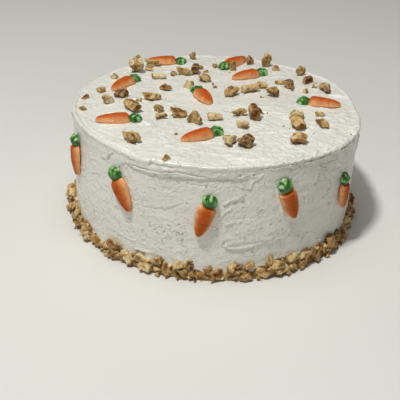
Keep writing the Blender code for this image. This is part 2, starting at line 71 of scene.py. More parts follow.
# Where the rim swells out or in: degrees, half width in degrees, millimetres out
RIM_SWELLS = (
    (330.0, 20.0, 2.6),
    (250.5, 5.0, 1.6),
    (243.0, 5.0, 1.4),
    (222.0, 15.0, -2.2),
    (283.0, 12.0, -2.6),
    (263.0, 6.0, -1.0),
    (33.0, 13.0, 2.2),
    (95.0, 18.0, 1.4),
    (62.0, 10.0, -1.5),
    (150.0, 20.0, -1.4),
    (4.0, 11.0, -1.7),
    (203.0, 12.0, -0.8),
)

# The dent in the rim, longer to its right and deeper than the solid's
NOTCH_ANGLE = 247.0
NOTCH_REACH = 15.0  # degrees
NOTCH_DEPTH = 2.8 * MM
# Where the rim stands high or low, and where it is ragged: degrees, half width in degrees, how much
CREST_SWELLS = ((222.0, 24.0, 0.4), (275.0, 16.0, -0.5), (NOTCH_ANGLE - 1.8, 2.2, 0.7))
RAGGED_SWELLS = ((315.0, 22.0, 1.1), (215.0, 26.0, -0.3))

# Where the sugar carrots lie, the same as their solids
# On the top: x and y in millimetres, heading in degrees
TOP_CARROTS = (
    (-68.3, -37.4, 10.0),
    (-8.8, -59.4, 33.0),
    (-71.3, 32.8, 58.0),
    (-41.6, 86.0, 4.0),
    (-10.2, 12.6, 112.0),
    (27.2, 59.6, 31.0),
    (77.8, 6.0, 170.0),
    (14.0, 86.6, 231.0),
)
# On the side: degrees round the cake, height in millimetres, lean in degrees, share of the full size
SIDE_CARROTS = (
    (203.0, 60.8, 1.0, 1.0),
    (234.7, 58.3, 27.0, 1.0),
    (267.4, 51.3, -15.0, 1.0),
    (298.1, 59.3, 20.0, 1.0),
    (328.2, 47.2, 7.0, 0.88),
    (4.5, 60.0, 6.0, 1.0),
    (34.0, 54.0, -9.0, 0.97),
    (62.0, 57.5, 14.0, 1.0),
    (89.0, 52.0, -6.0, 0.95),
    (116.0, 58.0, 9.0, 1.0),
    (142.0, 55.0, -13.0, 0.98),
    (167.0, 56.5, 7.0, 1.0),
)

# Walnut pieces on the top: middle, length, width and height in millimetres, heading in degrees, kind,
# and how dark the skin is from 0 to 1
WALNUTS = (
    (-64.0, 62.5, 14.4, 12.3, 13.2, 60.0, "fork", 0.3),
    (-53.5, 77.6, 12.5, 5.2, 6.4, 4.0, "flake", 0.15),
    (-46.0, 49.2, 12.0, 4.8, 4.2, 4.0, "flake", 0.1),
    (-26.0, 59.0, 12.3, 7.0, 7.2, 0.0, "half", 0.25),
    (-17.0, 62.0, 8.0, 6.4, 8.2, 80.0, "chunk", 0.9),
    (-39.0, 25.0, 10.3, 5.8, 5.5, -6.0, "fork", 0.95),
    (-21.5, 32.0, 10.7, 6.0, 5.9, 24.0, "chunk", 0.12),
    (-9.5, 47.5, 10.3, 8.6, 7.7, 10.0, "chunk", 0.4),
    (-71.3, 6.0, 11.8, 8.0, 7.2, 28.0, "chunk", 0.65),
    (-80.6, -5.9, 9.6, 7.5, 6.8, -8.0, "chunk", 0.05),
    (-61.0, -16.0, 15.5, 9.1, 7.0, -58.0, "half", 0.5),
    (-48.5, 4.7, 14.0, 7.7, 6.5, 8.0, "half", 0.25),
    (-41.5, -17.5, 8.3, 7.1, 5.5, 0.0, "bean", 0.0),
    (-39.5, -30.5, 9.6, 6.0, 4.8, -18.0, "fork", 0.55),
    (-26.5, -26.0, 12.5, 9.0, 7.4, 12.0, "half", 0.6),
    (-15.4, -35.4, 15.4, 10.0, 8.3, -62.0, "bean", 0.6),
    (-57.0, -70.6, 13.9, 9.1, 7.9, -40.0, "fork", 0.5),
    (-0.5, -28.8, 11.3, 6.0, 5.3, 6.0, "flake", 0.3),
    (17.0, -20.0, 11.2, 8.6, 6.4, 20.0, "fork", 0.08),
    (28.0, -22.0, 16.1, 9.6, 8.8, 104.0, "half", 0.8),
    (19.5, -41.5, 8.6, 7.5, 5.7, 0.0, "bean", 0.25),
    (9.5, -69.3, 12.3, 7.5, 6.4, 68.0, "fork", 0.1),
    (20.8, -69.9, 11.8, 10.7, 7.9, 40.0, "chunk", 0.75),
    (59.0, -20.0, 11.2, 9.1, 5.3, -6.0, "flake", 0.02),
    (58.4, -37.0, 14.4, 9.6, 8.1, -72.0, "half", 0.6),
    (56.2, -63.9, 12.3, 9.6, 7.5, 4.0, "chunk", 0.35),
    (77.3, -34.3, 13.9, 7.1, 6.4, -52.0, "fork", 0.75),
    (42.0, 87.0, 9.6, 8.6, 11.6, 90.0, "fork", 0.3),
    (68.2, 67.4, 9.6, 8.0, 8.8, 30.0, "fork", 0.12),
    (58.3, 37.0, 11.8, 8.0, 7.2, -52.0, "chunk", 0.75),
    (36.2, 35.7, 9.1, 6.0, 5.5, -12.0, "half", 0.5),
    (26.1, 26.3, 14.4, 7.5, 6.6, 24.0, "half", 0.3),
    (43.9, 19.8, 11.8, 9.1, 7.9, -10.0, "chunk", 0.3),
    (11.2, 18.4, 12.8, 9.6, 9.0, 34.0, "chunk", 0.6),
    (73.5, 50.0, 11.2, 5.4, 5.9, 34.0, "flake", 0.85),
    (86.2, 31.6, 15.0, 8.1, 7.7, 102.0, "bean", 0.4),
    (13.8, 72.2, 8.2, 5.8, 9.2, 51.0, "chunk", 0.8),
    (27.2, 89.6, 8.0, 6.6, 8.6, 51.0, "fork", 0.45),
)
# Smaller bits, which are one solid with the frosting
WALNUT_BITS = (
    (-81.5, 46.0, 6.8, 6.0, 5.4, 20.0, "chunk", 0.05),
    (-55.0, 67.5, 7.4, 4.8, 4.8, -10.0, "flake", 0.4),
    (-34.5, 56.0, 5.6, 4.6, 5.4, 70.0, "chunk", 0.2),
    (-88.5, 16.5, 7.0, 5.2, 4.8, 10.0, "chunk", 0.15),
    (-57.5, 0.5, 5.2, 4.6, 3.8, 30.0, "bean", 0.25),
    (-31.0, -96.5, 9.0, 5.2, 4.2, 82.0, "bean", 0.4),
    (-98.5, 2.0, 6.2, 5.6, 5.0, 40.0, "chunk", 0.4),
    (-97.0, -19.0, 5.8, 5.0, 4.0, 10.0, "chunk", 0.5),
    (65.0, -56.5, 2.8, 2.6, 2.2, 0.0, "chunk", 0.3),
    (76.5, -15.5, 7.4, 5.0, 4.6, 10.0, "fork", 0.1),
    (49.5, 77.0, 7.6, 5.4, 5.0, -14.0, "chunk", 0.25),
    (50.5, 45.0, 7.0, 5.0, 5.0, -20.0, "chunk", 0.3),
    (78.5, 41.5, 6.6, 5.2, 4.8, 60.0, "fork", 0.05),
    (70.5, 29.5, 6.8, 5.0, 4.8, 70.0, "chunk", 0.2),
    (-20.5, 97.5, 6.0, 5.6, 7.4, 80.0, "chunk", 0.3),
    (-14.0, 74.0, 6.8, 5.0, 4.8, -20.0, "flake", 0.3),
    (-8.5, 66.0, 4.8, 4.0, 3.4, 0.0, "chunk", 0.3),
    (-1.6, 79.2, 4.6, 4.2, 4.0, 0.0, "bean", 0.1),
    (35.5, 15.5, 3.2, 3.0, 2.6, 0.0, "chunk", 0.4),
    (-1.0, 34.0, 4.2, 3.2, 2.8, 15.0, "flake", 0.2),
)
NUT_SINK = 0.7 * MM  # how deep the pieces lie in the frosting
BIT_SINK = 1.2 * MM  # and the smaller bits
CORNER_POWER = 6.0  # how sharply the faces of an arm meet
ARM_POWER = 12.0  # how sharply the arms of a piece meet
SKIN_SHARE = 0.55  # how many of a piece's faces have kept their skin
FINE_MESH_FROM = 10.2  # the length in millimetres from which a piece has the finer mesh
# Crumbs of walnut on the top: middle and width in millimetres
CRUMBS = (
    (34.5, -16.0, 2.4),
    (38.0, -14.5, 1.6),
    (48.5, -37.0, 1.9),
    (52.5, -41.0, 1.2),
    (95.0, -47.0, 1.6),
    (-2.5, 40.0, 1.9),
    (-27.0, -57.5, 2.6),
    (-38.0, 7.0, 1.1),
    (11.0, 66.0, 1.3),
    (-29.0, -20.5, 1.3),
    (-33.0, -37.0, 1.0),
    (40.0, -20.0, 1.1),
    (69.0, -48.0, 1.0),
)

# The border of walnuts at the foot, by the same rule as its solid
BORDER_CORE_WIDTH = 3.0 * MM
BORDER_CORE_HEIGHT = 9.5 * MM
# The outline of its core, out and up as shares of its width and height
CORE_SECTION = ((-1.5, 0.0), (0.25, 0.0), (0.6, 0.15), (0.6, 0.4), (0.3, 0.6), (-1.5, 0.7))
CORE_POINTS = 360
BORDER_SEED = 17
# The first seed of each group of pieces
ROW_SEED, EXTRA_SEED, CHIP_SEED, CRUMB_SEED = 1000, 2000, 3000, 4000
# Rows of pieces: places round the cake, height, how far out, share of the places filled
BORDER_ROWS = (
    (62, 0.4 * MM, 2.6 * MM, 1.0),
    (56, 5.0 * MM, 1.6 * MM, 0.45),
)
BORDER_LENGTHS = (9.5 * MM, 13.0 * MM)
BORDER_WIDTHS = (6.8 * MM, 9.0 * MM)
# Pieces that stand high against the wall: degrees, height in millimetres
BORDER_HIGH = ((262.0, 8.0), (292.5, 7.6), (344.0, 7.6), (47.0, 7.6), (118.0, 8.0), (196.0, 7.6))
BORDER_KINDS = ("chunk", "half", "fork", "chunk", "bean", "flake")
BORDER_TONES = (0.05, 0.2, 0.3, 0.35, 0.5, 0.65, 0.9)
EXTRA_PIECES = 44
CHIPS = 240
OUTER_CRUMBS = 60
# From and to in millimetres for the length, width and height of each extra piece and each chip
EXTRA_SIZES = ((5.5, 9.0), (4.0, 6.5), (3.6, 5.6))
CHIP_SIZES = ((2.8, 5.8), (2.2, 4.2), (1.8, 3.6))
# Where the border is wider or narrower: degrees, half width in degrees, millimetres out
BORDER_SWELLS = (
    (187.0, 8.0, 2.2),
    (222.5, 7.0, -2.2),
    (242.0, 8.0, 0.9),
    (295.0, 6.0, 1.2),
    (311.0, 6.0, -1.4),
    (342.0, 13.0, -1.8),
    (20.0, 10.0, 1.0),
    (75.0, 12.0, -1.5),
    (130.0, 10.0, 1.2),
    (266.0, 34.0, -3.0),
)

# The frosting's mesh
ROUND = 1024  # points round the wall
NOISE_RADIUS = 106.0  # the radius at which the rim's noise is read, in millimetres
# Rings of the wall: lowest and highest in millimetres, number of rings
WALL_HEIGHTS = ((1.2, 8.0, 4), (8.9, 77.0, 73), (77.5, 82.4, 10))
# Rings of the top: outer and inner radius in millimetres, number of rings, points in each
TOP_RINGS = (
    (101.0, 61.0, 50, 1024),
    (61.0, 31.0, 30, 512),
    (31.0, 13.0, 17, 256),
    (13.0, 3.0, 8, 128),
)
# Rings over the rim: millimetres out from the wall and up from the top
RIM_ROWS = (
    (0.05, -3.1),
    (0.15, -2.6),
    (0.3, -2.1),
    (0.4, -1.6),
    (0.45, -1.1),
    (0.4, -0.6),
    (0.2, -0.15),
    (-0.15, 0.25),
    (-0.6, 0.55),
    (-1.1, 0.65),
    (-1.7, 0.5),
    (-2.4, 0.25),
    (-3.2, 0.0),
    (-4.2, -0.1),
)

MM_PER_DEGREE = 1.86  # along the wall, about
SWEEP_MIDDLE = (-18.0, 46.0)  # millimetres: what the spatula turned about on the top
# Marks drawn at random: how many, and the seed
BACK_STROKES = (44, 5)
WALL_FLECKS = (130, 12)
SMALL_PITS = (260, 8)
TOP_RIDGES = (110, 83)
RIM_FLECKS = (52, 89)
# Strokes that the spatula left on the wall: height, half width, then (degrees, millimetres) points
WALL_STROKES = (
    (0.7, 0.8, ((223.0, 73.5), (226.0, 75.5), (228.0, 80.0), (229.5, 82.0))),
    (0.5, 0.7, ((203.0, 51.0), (206.5, 53.0), (210.0, 54.5))),
    (0.5, 0.7, ((205.0, 47.0), (211.0, 49.5))),
    (0.5, 0.7, ((216.0, 57.0), (221.0, 60.0))),
    (0.35, 0.7, ((244.0, 51.5), (250.0, 53.0), (254.0, 54.0), (259.0, 59.0))),
    (0.5, 0.8, ((283.5, 68.5), (284.0, 74.0), (287.5, 78.5))),
    (0.45, 0.8, ((279.0, 71.0), (283.5, 69.0))),
    (0.8, 0.8, ((274.0, 59.0), (276.0, 61.5), (281.0, 63.0))),
    (0.4, 0.7, ((279.0, 64.0), (281.5, 65.5))),
    (0.6, 0.8, ((272.5, 50.0), (275.0, 54.0), (276.5, 55.0))),
    (0.5, 0.8, ((275.0, 43.5), (278.0, 46.0))),
    (0.5, 0.9, ((294.5, 28.5), (288.0, 27.5), (285.0, 26.0))),
    (0.95, 1.0, ((285.0, 26.0), (281.0, 25.0), (277.0, 25.3), (275.0, 27.5))),
    (0.45, 0.8, ((275.0, 28.0), (279.0, 30.0), (286.0, 30.3), (293.0, 30.0))),
    (0.5, 0.8, ((294.0, 29.0), (299.5, 29.3))),
    (0.4, 0.8, ((299.0, 31.5), (301.0, 35.0), (300.0, 38.5))),
    (0.6, 0.8, ((303.5, 27.0), (306.5, 22.0))),
    (0.5, 0.9, ((293.5, 66.0), (295.0, 58.0), (296.5, 47.0))),
    (0.45, 0.8, ((311.0, 77.0), (310.5, 71.0), (310.0, 66.5))),
    (0.35, 0.6, ((311.0, 77.0), (320.5, 77.0))),
    (0.6, 0.9, ((240.5, 14.0), (244.0, 14.5), (248.0, 15.5))),
    (0.7, 1.0, ((294.0, 12.5), (300.0, 13.0), (306.0, 12.0))),
    (0.4, 0.7, ((236.0, 34.0), (239.0, 36.0))),
    (0.35, 0.7, ((262.0, 74.0), (266.0, 73.0), (271.0, 72.5))),
    (0.3, 0.8, ((303.0, 70.0), (306.0, 58.0), (308.0, 47.0))),
    (0.35, 0.7, ((230.0, 22.0), (237.0, 20.0), (246.0, 20.5))),
    (0.3, 0.7, ((214.0, 66.0), (219.0, 68.5))),
    (-0.6, 0.7, ((286.0, 83.4), (290.0, 83.9), (296.0, 83.6), (301.0, 84.0))),
    (-0.7, 0.7, ((304.0, 83.6), (308.0, 84.1), (313.0, 83.4), (317.0, 83.9))),
    (-0.5, 0.7, ((322.0, 83.6), (328.0, 83.9), (333.0, 83.3))),
)
# The crack under the rim at the front: (degrees, millimetres)
CRACK = (
    (235.5, 77.0), (240.0, 79.0), (250.0, 79.6), (257.0, 80.8), (262.0, 79.3), (268.0, 78.0),
    (275.0, 77.2),
)
# Small pits of burst bubbles: degrees, millimetres, radius in millimetres
PITS = (
    (244.5, 23.0, 1.1), (236.5, 25.0, 1.1), (225.0, 36.5, 0.9), (251.5, 37.5, 0.9), (250.5, 31.5, 0.8),
    (247.0, 36.0, 0.8), (247.0, 38.8, 0.7), (252.0, 27.0, 0.8), (259.5, 30.0, 1.1), (254.0, 40.0, 0.9),
    (256.5, 36.0, 0.7), (250.0, 24.0, 0.8), (253.0, 29.5, 0.7), (286.5, 54.5, 0.8), (288.0, 52.0, 0.7),
    (287.0, 50.5, 0.7), (292.0, 41.0, 1.2), (309.5, 65.0, 0.8), (296.5, 25.5, 0.8), (279.5, 79.5, 1.2),
    (282.0, 34.5, 0.7), (280.5, 33.0, 0.6), (249.0, 34.0, 0.7), (245.5, 29.0, 0.7), (242.5, 31.0, 0.7),
    (238.0, 29.0, 0.6), (257.5, 33.0, 0.7), (261.5, 46.0, 0.7), (241.5, 50.0, 0.7), (232.0, 31.0, 0.7),
)
# Ridges that the spatula pushed up on the top: height, half width, (x, y) points
TOP_STROKES = (
    (0.45, 0.8, ((-94.0, -38.0), (-88.0, -50.0), (-75.0, -68.0), (-60.0, -81.5), (-47.0, -91.5))),
    (0.5, 0.8, ((-37.0, -97.0), (-20.0, -100.0), (-5.0, -102.0))),
    (0.35, 1.2, ((10.0, -92.0), (25.0, -91.0), (40.0, -88.0))),
    (0.3, 1.1, ((-10.0, -84.0), (8.0, -87.0), (24.0, -84.0))),
    (0.35, 0.9, ((-35.0, -2.0), (-22.0, 6.0), (-8.0, 9.0))),
    (0.4, 0.9, ((12.0, -6.0), (24.0, -7.0), (40.0, -13.0))),
    (0.3, 1.2, ((-80.0, -52.0), (-66.0, -64.0), (-48.0, -76.0))),
    (0.35, 0.8, ((30.0, -62.0), (33.0, -72.0), (31.0, -80.0))),
    (0.4, 0.8, ((45.0, -78.0), (58.0, -76.0), (68.0, -70.0))),
)
# Where the top is rough: x, y and half width in millimetres, how rough
ROUGH_PATCHES = (
    (52.0, -56.0, 34.0, 1.0),
    (84.0, -30.0, 24.0, 0.8),
    (20.0, -80.0, 26.0, 0.7),
    (-40.0, -78.0, 24.0, 0.7),
    (-20.0, 70.0, 22.0, 0.5),
)


def clamp01(value):
    return np.clip(value, 0.0, 1.0)


def ease(low, high, value):
    share = clamp01((np.asarray(value, float) - low) / (high - low))
    return share * share * (3.0 - 2.0 * share)


def bump(offset, half_width):
    return np.exp(-((offset / half_width) ** 2))


def angle_off(angle, middle):
    """Degrees from middle to angle, from -180 to 180."""
    return (angle - middle + 180.0) % 360.0 - 180.0


def swells(angle, rows):
    """The sum of the swells in a table of (middle, half width, how much) at each angle in degrees."""
    return sum(much * bump(angle_off(angle, middle), width) for middle, width, much in rows)


# Noise for whole arrays of points

LATTICE_PRIMES = (73856093, 19349663, 83492791)
SEED_PRIME = 2654435761
MIXING_PRIME = 1274126177


def lattice_value(ix, iy, iz, seed):
    """A fixed draw from -1 to 1 for each lattice point."""
    px, py, pz = LATTICE_PRIMES
    mixed = (ix * px) ^ (iy * py) ^ (iz * pz) ^ (seed * SEED_PRIME)
    mixed = (mixed ^ (mixed >> 13)) * MIXING_PRIME
    mixed = (mixed ^ (mixed >> 16)) & 0xFFFF
    return mixed / 32767.5 - 1.0


def smooth_noise(points, seed=0):
    """Smooth noise from -1 to 1 at each point, with features about one unit wide."""
    cell = np.floor(points).astype(np.int64)
    part = points - cell
    fade = part * part * part * (part * (part * 6.0 - 15.0) + 10.0)
    total = 0.0
    for dx in (0, 1):
        wx = fade[:, 0] if dx else 1.0 - fade[:, 0]
        for dy in (0, 1):
            wy = fade[:, 1] if dy else 1.0 - fade[:, 1]
            for dz in (0, 1):
                wz = fade[:, 2] if dz else 1.0 - fade[:, 2]
                corner = lattice_value(cell[:, 0] + dx, cell[:, 1] + dy, cell[:, 2] + dz, seed)
                total = total + corner * wx * wy * wz
    return total


def layered_noise(points, layers, seed=0):
    """Noise in finer and finer layers, each half as strong."""
    total, strength, scale = 0.0, 1.0, 1.0
    for layer in range(layers):
        total = total + strength * smooth_noise(points * scale + 17.3 * layer, seed + layer)
        strength *= 0.5
        scale *= 2.03
    return total


def straight(x, y, lean, length):
    """A path of one straight piece."""
    return ((x, y), (x + length * math.cos(lean), y + length * math.sin(lean)))


def stroke_distance(a, b, path):
    """Distance of each (a, b) from a path of straight pieces, and how far it lies above the path."""
    best = np.full(a.shape, 1e9)
    above = np.zeros(a.shape)
    for (x0, y0), (x1, y1) in zip(path[:-1], path[1:]):
        dx, dy = x1 - x0, y1 - y0
        share = clamp01(((a - x0) * dx + (b - y0) * dy) / (dx * dx + dy * dy))
        ox, oy = a - (x0 + share * dx), b - (y0 + share * dy)
        distance = np.hypot(ox, oy)
        nearer = distance < best
        best = np.where(nearer, distance, best)
        above = np.where(nearer, oy, above)
    return best, above


def stroke_relief(a, b, path, height, width):
    """A ridge along a path with a shallow trough below it."""
    distance, above = stroke_distance(a, b, path)
    ridge = height * bump(distance, width)
    trough = 0.45 * height * bump(distance - 1.9 * width, width) * (above < 0)
    return ridge - trough


# The frosting

def ring_angles(count):
    return np.arange(count) * 360.0 / count


def polar(angle, radius, height):
    """Points at angles in degrees."""
    turn = np.radians(angle)
    return np.column_stack([radius * np.cos(turn), radius * np.sin(turn), height])


def fold_share(angle):
    middle = (FOLD_FROM + FOLD_TO) / 2
    reach = (FOLD_TO - FOLD_FROM) / 2
    return 1.0 - ease(0.6 * reach, reach, np.abs(angle_off(angle, middle)))


def rim_notch(angle):
    """The dent where one stroke of the spatula ends at the next: steep on its left, long on its right."""
    beyond = angle_off(angle, NOTCH_ANGLE)
    return NOTCH_DEPTH * ease(-0.5, 0.7, beyond) * (1.0 - ease(1.0, NOTCH_REACH, beyond))


def slow_noise(points):
    return np.array([noise.noise(Vector(point)) for point in points])


def wall_radius(angle, height):
    """The plain radius of the wall, as the solid has it, for arrays of degrees and heights."""
    place = polar(angle, 1.0, height / CAKE_RADIUS)
    waves = 0.5 * MM * slow_noise(place * 2.3) + 0.35 * MM * slow_noise(place * 6.0)
    swell = MM * swells(angle, RIM_SWELLS) * ease(0.35 * CAKE_HEIGHT, 0.95 * CAKE_HEIGHT, height)
    fold = -FOLD_DEPTH * fold_share(angle) * ease(0.75 * FOLD_HEIGHT, FOLD_HEIGHT, height)
    fold = np.where(height < FOLD_HEIGHT, fold, 0.0)
    return CAKE_RADIUS + waves + swell + fold


def top_height(x, y):
    place = np.stack([x, y, np.zeros_like(x)], -1) / CAKE_RADIUS
    return CAKE_HEIGHT + 0.4 * MM * slow_noise(place * 2.1) + 0.2 * MM * slow_noise(place * 5.2)


def random_strokes(count, seed):
    """Strokes like the ones at the front, for the back of the wall."""
    draw = random.Random(seed)
    strokes = []
    while len(strokes) < count:
        angle = draw.uniform(-15.0, 197.0)
        height = draw.uniform(14.0, 80.0)
        lean = draw.uniform(-0.35, 0.35) + (draw.random() < 0.3) * draw.uniform(0.6, 1.4)
        path = []
        for _ in range(draw.randint(2, 4)):
            path.append((angle, height))
            lean += draw.uniform(-0.5, 0.5)
            step = draw.uniform(4.0, 8.0)
            angle += step * math.cos(lean) / MM_PER_DEGREE
            height += step * math.sin(lean)
        strokes.append((draw.uniform(0.3, 0.85), draw.uniform(0.7, 1.0), tuple(path)))
    return strokes


def random_flecks(count, seed):
    """Short flecks that stand out of the wall, most of them at the left front."""
    draw = random.Random(seed)
    flecks = []
    for _ in range(count):
        angle = draw.uniform(196.0, 262.0) if draw.random() < 0.72 else draw.uniform(262.0, 345.0)
        height, lean = draw.uniform(13.0, 80.0), draw.uniform(-0.9, 0.9)
        length = draw.uniform(0.5, 2.4)
        end = (angle + length * math.cos(lean) / MM_PER_DEGREE, height + length * math.sin(lean))
        flecks.append((draw.uniform(0.2, 0.5), draw.uniform(0.55, 0.75), ((angle, height), end)))
    return flecks


def random_pits(count, seed):
    draw = random.Random(seed)
    pits = []
    for _ in range(count):
        low = draw.random() < 0.6
        height = draw.uniform(18.0, 42.0) if low else draw.uniform(42.0, 80.0)
        pits.append((draw.uniform(0.0, 360.0), height, draw.uniform(0.45, 0.95)))
    return pits


def wall_relief(angle, height):
    """Marks of the spatula on the wall, in metres out from it."""
    along = np.radians(1.0) * CAKE_RADIUS / MM  # millimetres to a degree, exactly
    z = height / MM
    ring = polar(angle, CAKE_RADIUS / MM, z)[:, :2]
    wide = np.column_stack([ring / 30.0, z / 13.0])
    middle = np.column_stack([ring / 9.0, z / 4.2])
    fine = np.column_stack([ring / 3.4, z / 2.1])
    drawn = np.column_stack([ring / 20.0, z / 2.4])
    total = 0.3 * layered_noise(wide, 2, 3) + 0.11 * layered_noise(middle, 2, 11)
    total = total + 0.13 * layered_noise(fine, 2, 23) + 0.08 * smooth_noise(drawn, 31)
    for size, strength, seed in ((10.0, 0.36, 47), (6.0, 0.34, 57)):
        ridged = 1.0 - np.abs(smooth_noise(np.column_stack([ring / size, z / (0.6 * size)]), seed))
        some = clamp01(smooth_noise(wide * 2.0, seed + 6) + 0.2)
        total = total + strength * clamp01(ridged - 0.9) / 0.1 * some
    a = (angle % 360.0) * along
    strokes = list(WALL_STROKES) + random_strokes(*BACK_STROKES) + random_flecks(*WALL_FLECKS)
    for height_mm, width, path in strokes:
        for shift in (0.0, 360.0):
            line = [((degrees + shift) * along, z_mm) for degrees, z_mm in path]
            if max(x for x, _ in line) < -5 or min(x for x, _ in line) > 365 * along:
                continue
            near = np.abs(a - line[0][0]) < 45.0
            if near.any():
                total[near] += stroke_relief(a[near], z[near], line, 1.3 * height_mm, 0.75 * width)
    for degrees, z_mm, radius in list(PITS) + random_pits(*SMALL_PITS):
        near = (np.abs(angle_off(angle, degrees)) < 3.0) & (np.abs(z - z_mm) < 5.0)
        if near.any():
            distance = np.hypot(angle_off(angle[near], degrees) * along, z[near] - z_mm)
            total[near] += 0.3 * bump(distance - 1.6 * radius, 0.6 * radius) - 0.8 * bump(distance, radius)
    crack = [(degrees * along, z_mm) for degrees, z_mm in CRACK]
    distance, above = stroke_distance(a, z, crack)
    fade = 0.4 + 0.6 * clamp01(smooth_noise(np.column_stack([ring / 12.0, z / 12.0]), 61) + 0.6)
    total = total - 0.9 * fade * bump(distance, 0.5) + 0.15 * fade * bump(distance - 1.2, 0.7) * (above < 0)
    return total * MM * ease(2.0, 9.0, z)


def rough_share(x, y):
    total = 0.0
    for px, py, width, share in ROUGH_PATCHES:
        total = total + share * bump(np.hypot(x - px, y - py), width)
    return clamp01(total)


def top_relief(x, y):
    """Marks of the spatula on the top, in metres up from it. x and y are in millimetres."""
    flat = np.zeros_like(x)
    total = 0.42 * layered_noise(np.column_stack([x / 22.0, y / 15.0, flat]), 3, 61)
    across, up = x - SWEEP_MIDDLE[0], y - SWEEP_MIDDLE[1]
    arc, way = np.hypot(across, up), np.arctan2(up, across)
    total = total + 0.13 * smooth_noise(np.column_stack([arc / 3.2, way * 2.2, flat]), 67)
    rough = rough_share(x, y)
    spots = np.column_stack([x / 4.6, y / 3.4, flat + 4.0])
    total = total + (0.14 + 0.36 * rough) * layered_noise(spots, 2, 71)
    bent = x + 4.0 * smooth_noise(np.column_stack([x / 14.0, y / 14.0, flat + 2.0]), 79)
    peaks = 1.0 - np.abs(smooth_noise(np.column_stack([bent / 8.0, (y + 0.4 * x) / 5.0, flat + 8.0]), 73))
    total = total + (0.14 + 0.7 * rough) * clamp01(peaks - 0.9) / 0.1
    for height_mm, width, path in TOP_STROKES:
        total = total + 1.2 * stroke_relief(x, y, path, height_mm, width)
    count, seed = TOP_RIDGES
    draw = random.Random(seed)
    for _ in range(count):
        px, py = draw.uniform(-90.0, 96.0), draw.uniform(-96.0, 96.0)
        path = straight(px, py, draw.uniform(-0.6, 0.9), draw.uniform(4.0, 13.0))
        total = total + stroke_relief(x, y, path, draw.uniform(0.3, 0.85), draw.uniform(0.45, 0.75))
    return (total + rim_marks(x, y)) * MM


def rim_marks(x, y):
    """The groove inside the rim at the left front, and the flecks along the rim at the right front."""
    angle = np.degrees(np.arctan2(y, x)) % 360.0
    inset = CAKE_RADIUS / MM + swells(angle, RIM_SWELLS) - np.hypot(x, y)
    share = ease(176.0, 190.0, angle) * (1.0 - ease(246.5, 248.0, angle))
    converging = ease(215.0, NOTCH_ANGLE, angle)
    wander = 0.7 * smooth_noise(np.column_stack([angle / 9.0, 0.0 * x, 0.0 * x]), 113)
    groove = inset - 3.2 + 1.6 * converging - wander * (1.0 - converging)
    total = -share * (0.4 + converging) * bump(groove, 0.9)
    total = total + 0.5 * share * converging * bump(groove - 1.4, 0.8)
    count, seed = RIM_FLECKS
    draw = random.Random(seed)
    for _ in range(count):
        at, deep = draw.gauss(316.0, 17.0), draw.uniform(-0.5, 6.0)
        radius = CAKE_RADIUS / MM + swells(at, RIM_SWELLS) - deep
        turn, lean, length = math.radians(at), draw.uniform(0.2, 1.1), draw.uniform(3.0, 8.0)
        px, py = radius * math.cos(turn), radius * math.sin(turn)
        height, width = draw.uniform(0.55, 1.25), draw.uniform(0.45, 0.7)
        near = np.hypot(x - px, y - py) < 16.0
        if near.any():
            path = straight(px, py, lean, length)
            total[near] += stroke_relief(x[near], y[near], path, height, width)
    return total


def rim_crest(angle):
    """How high and how ragged the rim stands at each angle: crest and raggedness, from 0 to about 1."""
    drawn = polar(angle, 1.0, np.zeros_like(angle))
    crest = 0.75 + 0.5 * smooth_noise(drawn * 6.0, 91) + swells(angle, CREST_SWELLS)
    ragged = 0.4 + 0.35 * smooth_noise(drawn * 4.0, 97) + swells(angle, RAGGED_SWELLS)
    return np.clip(crest, 0.15, 1.6), np.clip(ragged, 0.1, 1.5)


def wall_rings():
    """Points of the wall, ring by ring from the foot up to where the rim begins."""
    heights = np.concatenate([np.linspace(*spacing) for spacing in WALL_HEIGHTS])
    angle = np.tile(ring_angles(ROUND), len(heights))
    height = np.repeat(heights, ROUND) * MM
    radius = wall_radius(angle, height) + wall_relief(angle, height)
    points = polar(angle, radius, height).reshape(len(heights), ROUND, 3)
    foot = wall_radius(ring_angles(ROUND), np.zeros(ROUND)) - FOOT_CHAMFER
    return [polar(ring_angles(ROUND), foot, np.zeros(ROUND))] + list(points)


def rim_rings():
    """Points of the rim, with the ridge and the flecks that the spatula pushed up."""
    angle = ring_angles(ROUND)
    rim = wall_radius(angle, np.full(ROUND, CAKE_HEIGHT)) - rim_notch(angle)
    crest, ragged = rim_crest(angle)
    rings = []
    for out, rise in RIM_ROWS:
        radius = rim + out * MM
        x, y, _ = polar(angle, radius, np.zeros(ROUND)).T
        height = top_height(x, y) + (rise if rise < 0 else rise * crest) * MM
        side = float(ease(-1.0, 0.9, out)) * wall_relief(angle, np.full(ROUND, CAKE_HEIGHT + rise * MM))
        over = float(ease(0.5, -3.0, out)) * top_relief(x / MM, y / MM)
        edge = ragged * bump(out - 0.4, 2.2)
        jag = layered_noise(polar(angle, NOISE_RADIUS / 2.6, np.full(ROUND, rise / 1.4)), 2, 101)
        peak = polar(angle, NOISE_RADIUS / 6.0, np.full(ROUND, rise / 2.0))
        peak = 1.0 - np.abs(smooth_noise(peak, 107))
        peak = clamp01(peak - 0.78) / 0.22
        radius = radius + side + edge * (0.26 * jag + 0.34 * peak) * MM
        height = height + over + edge * (0.26 * jag + 0.32 * peak) * MM
        rings.append(polar(angle, radius, height))
    return rings


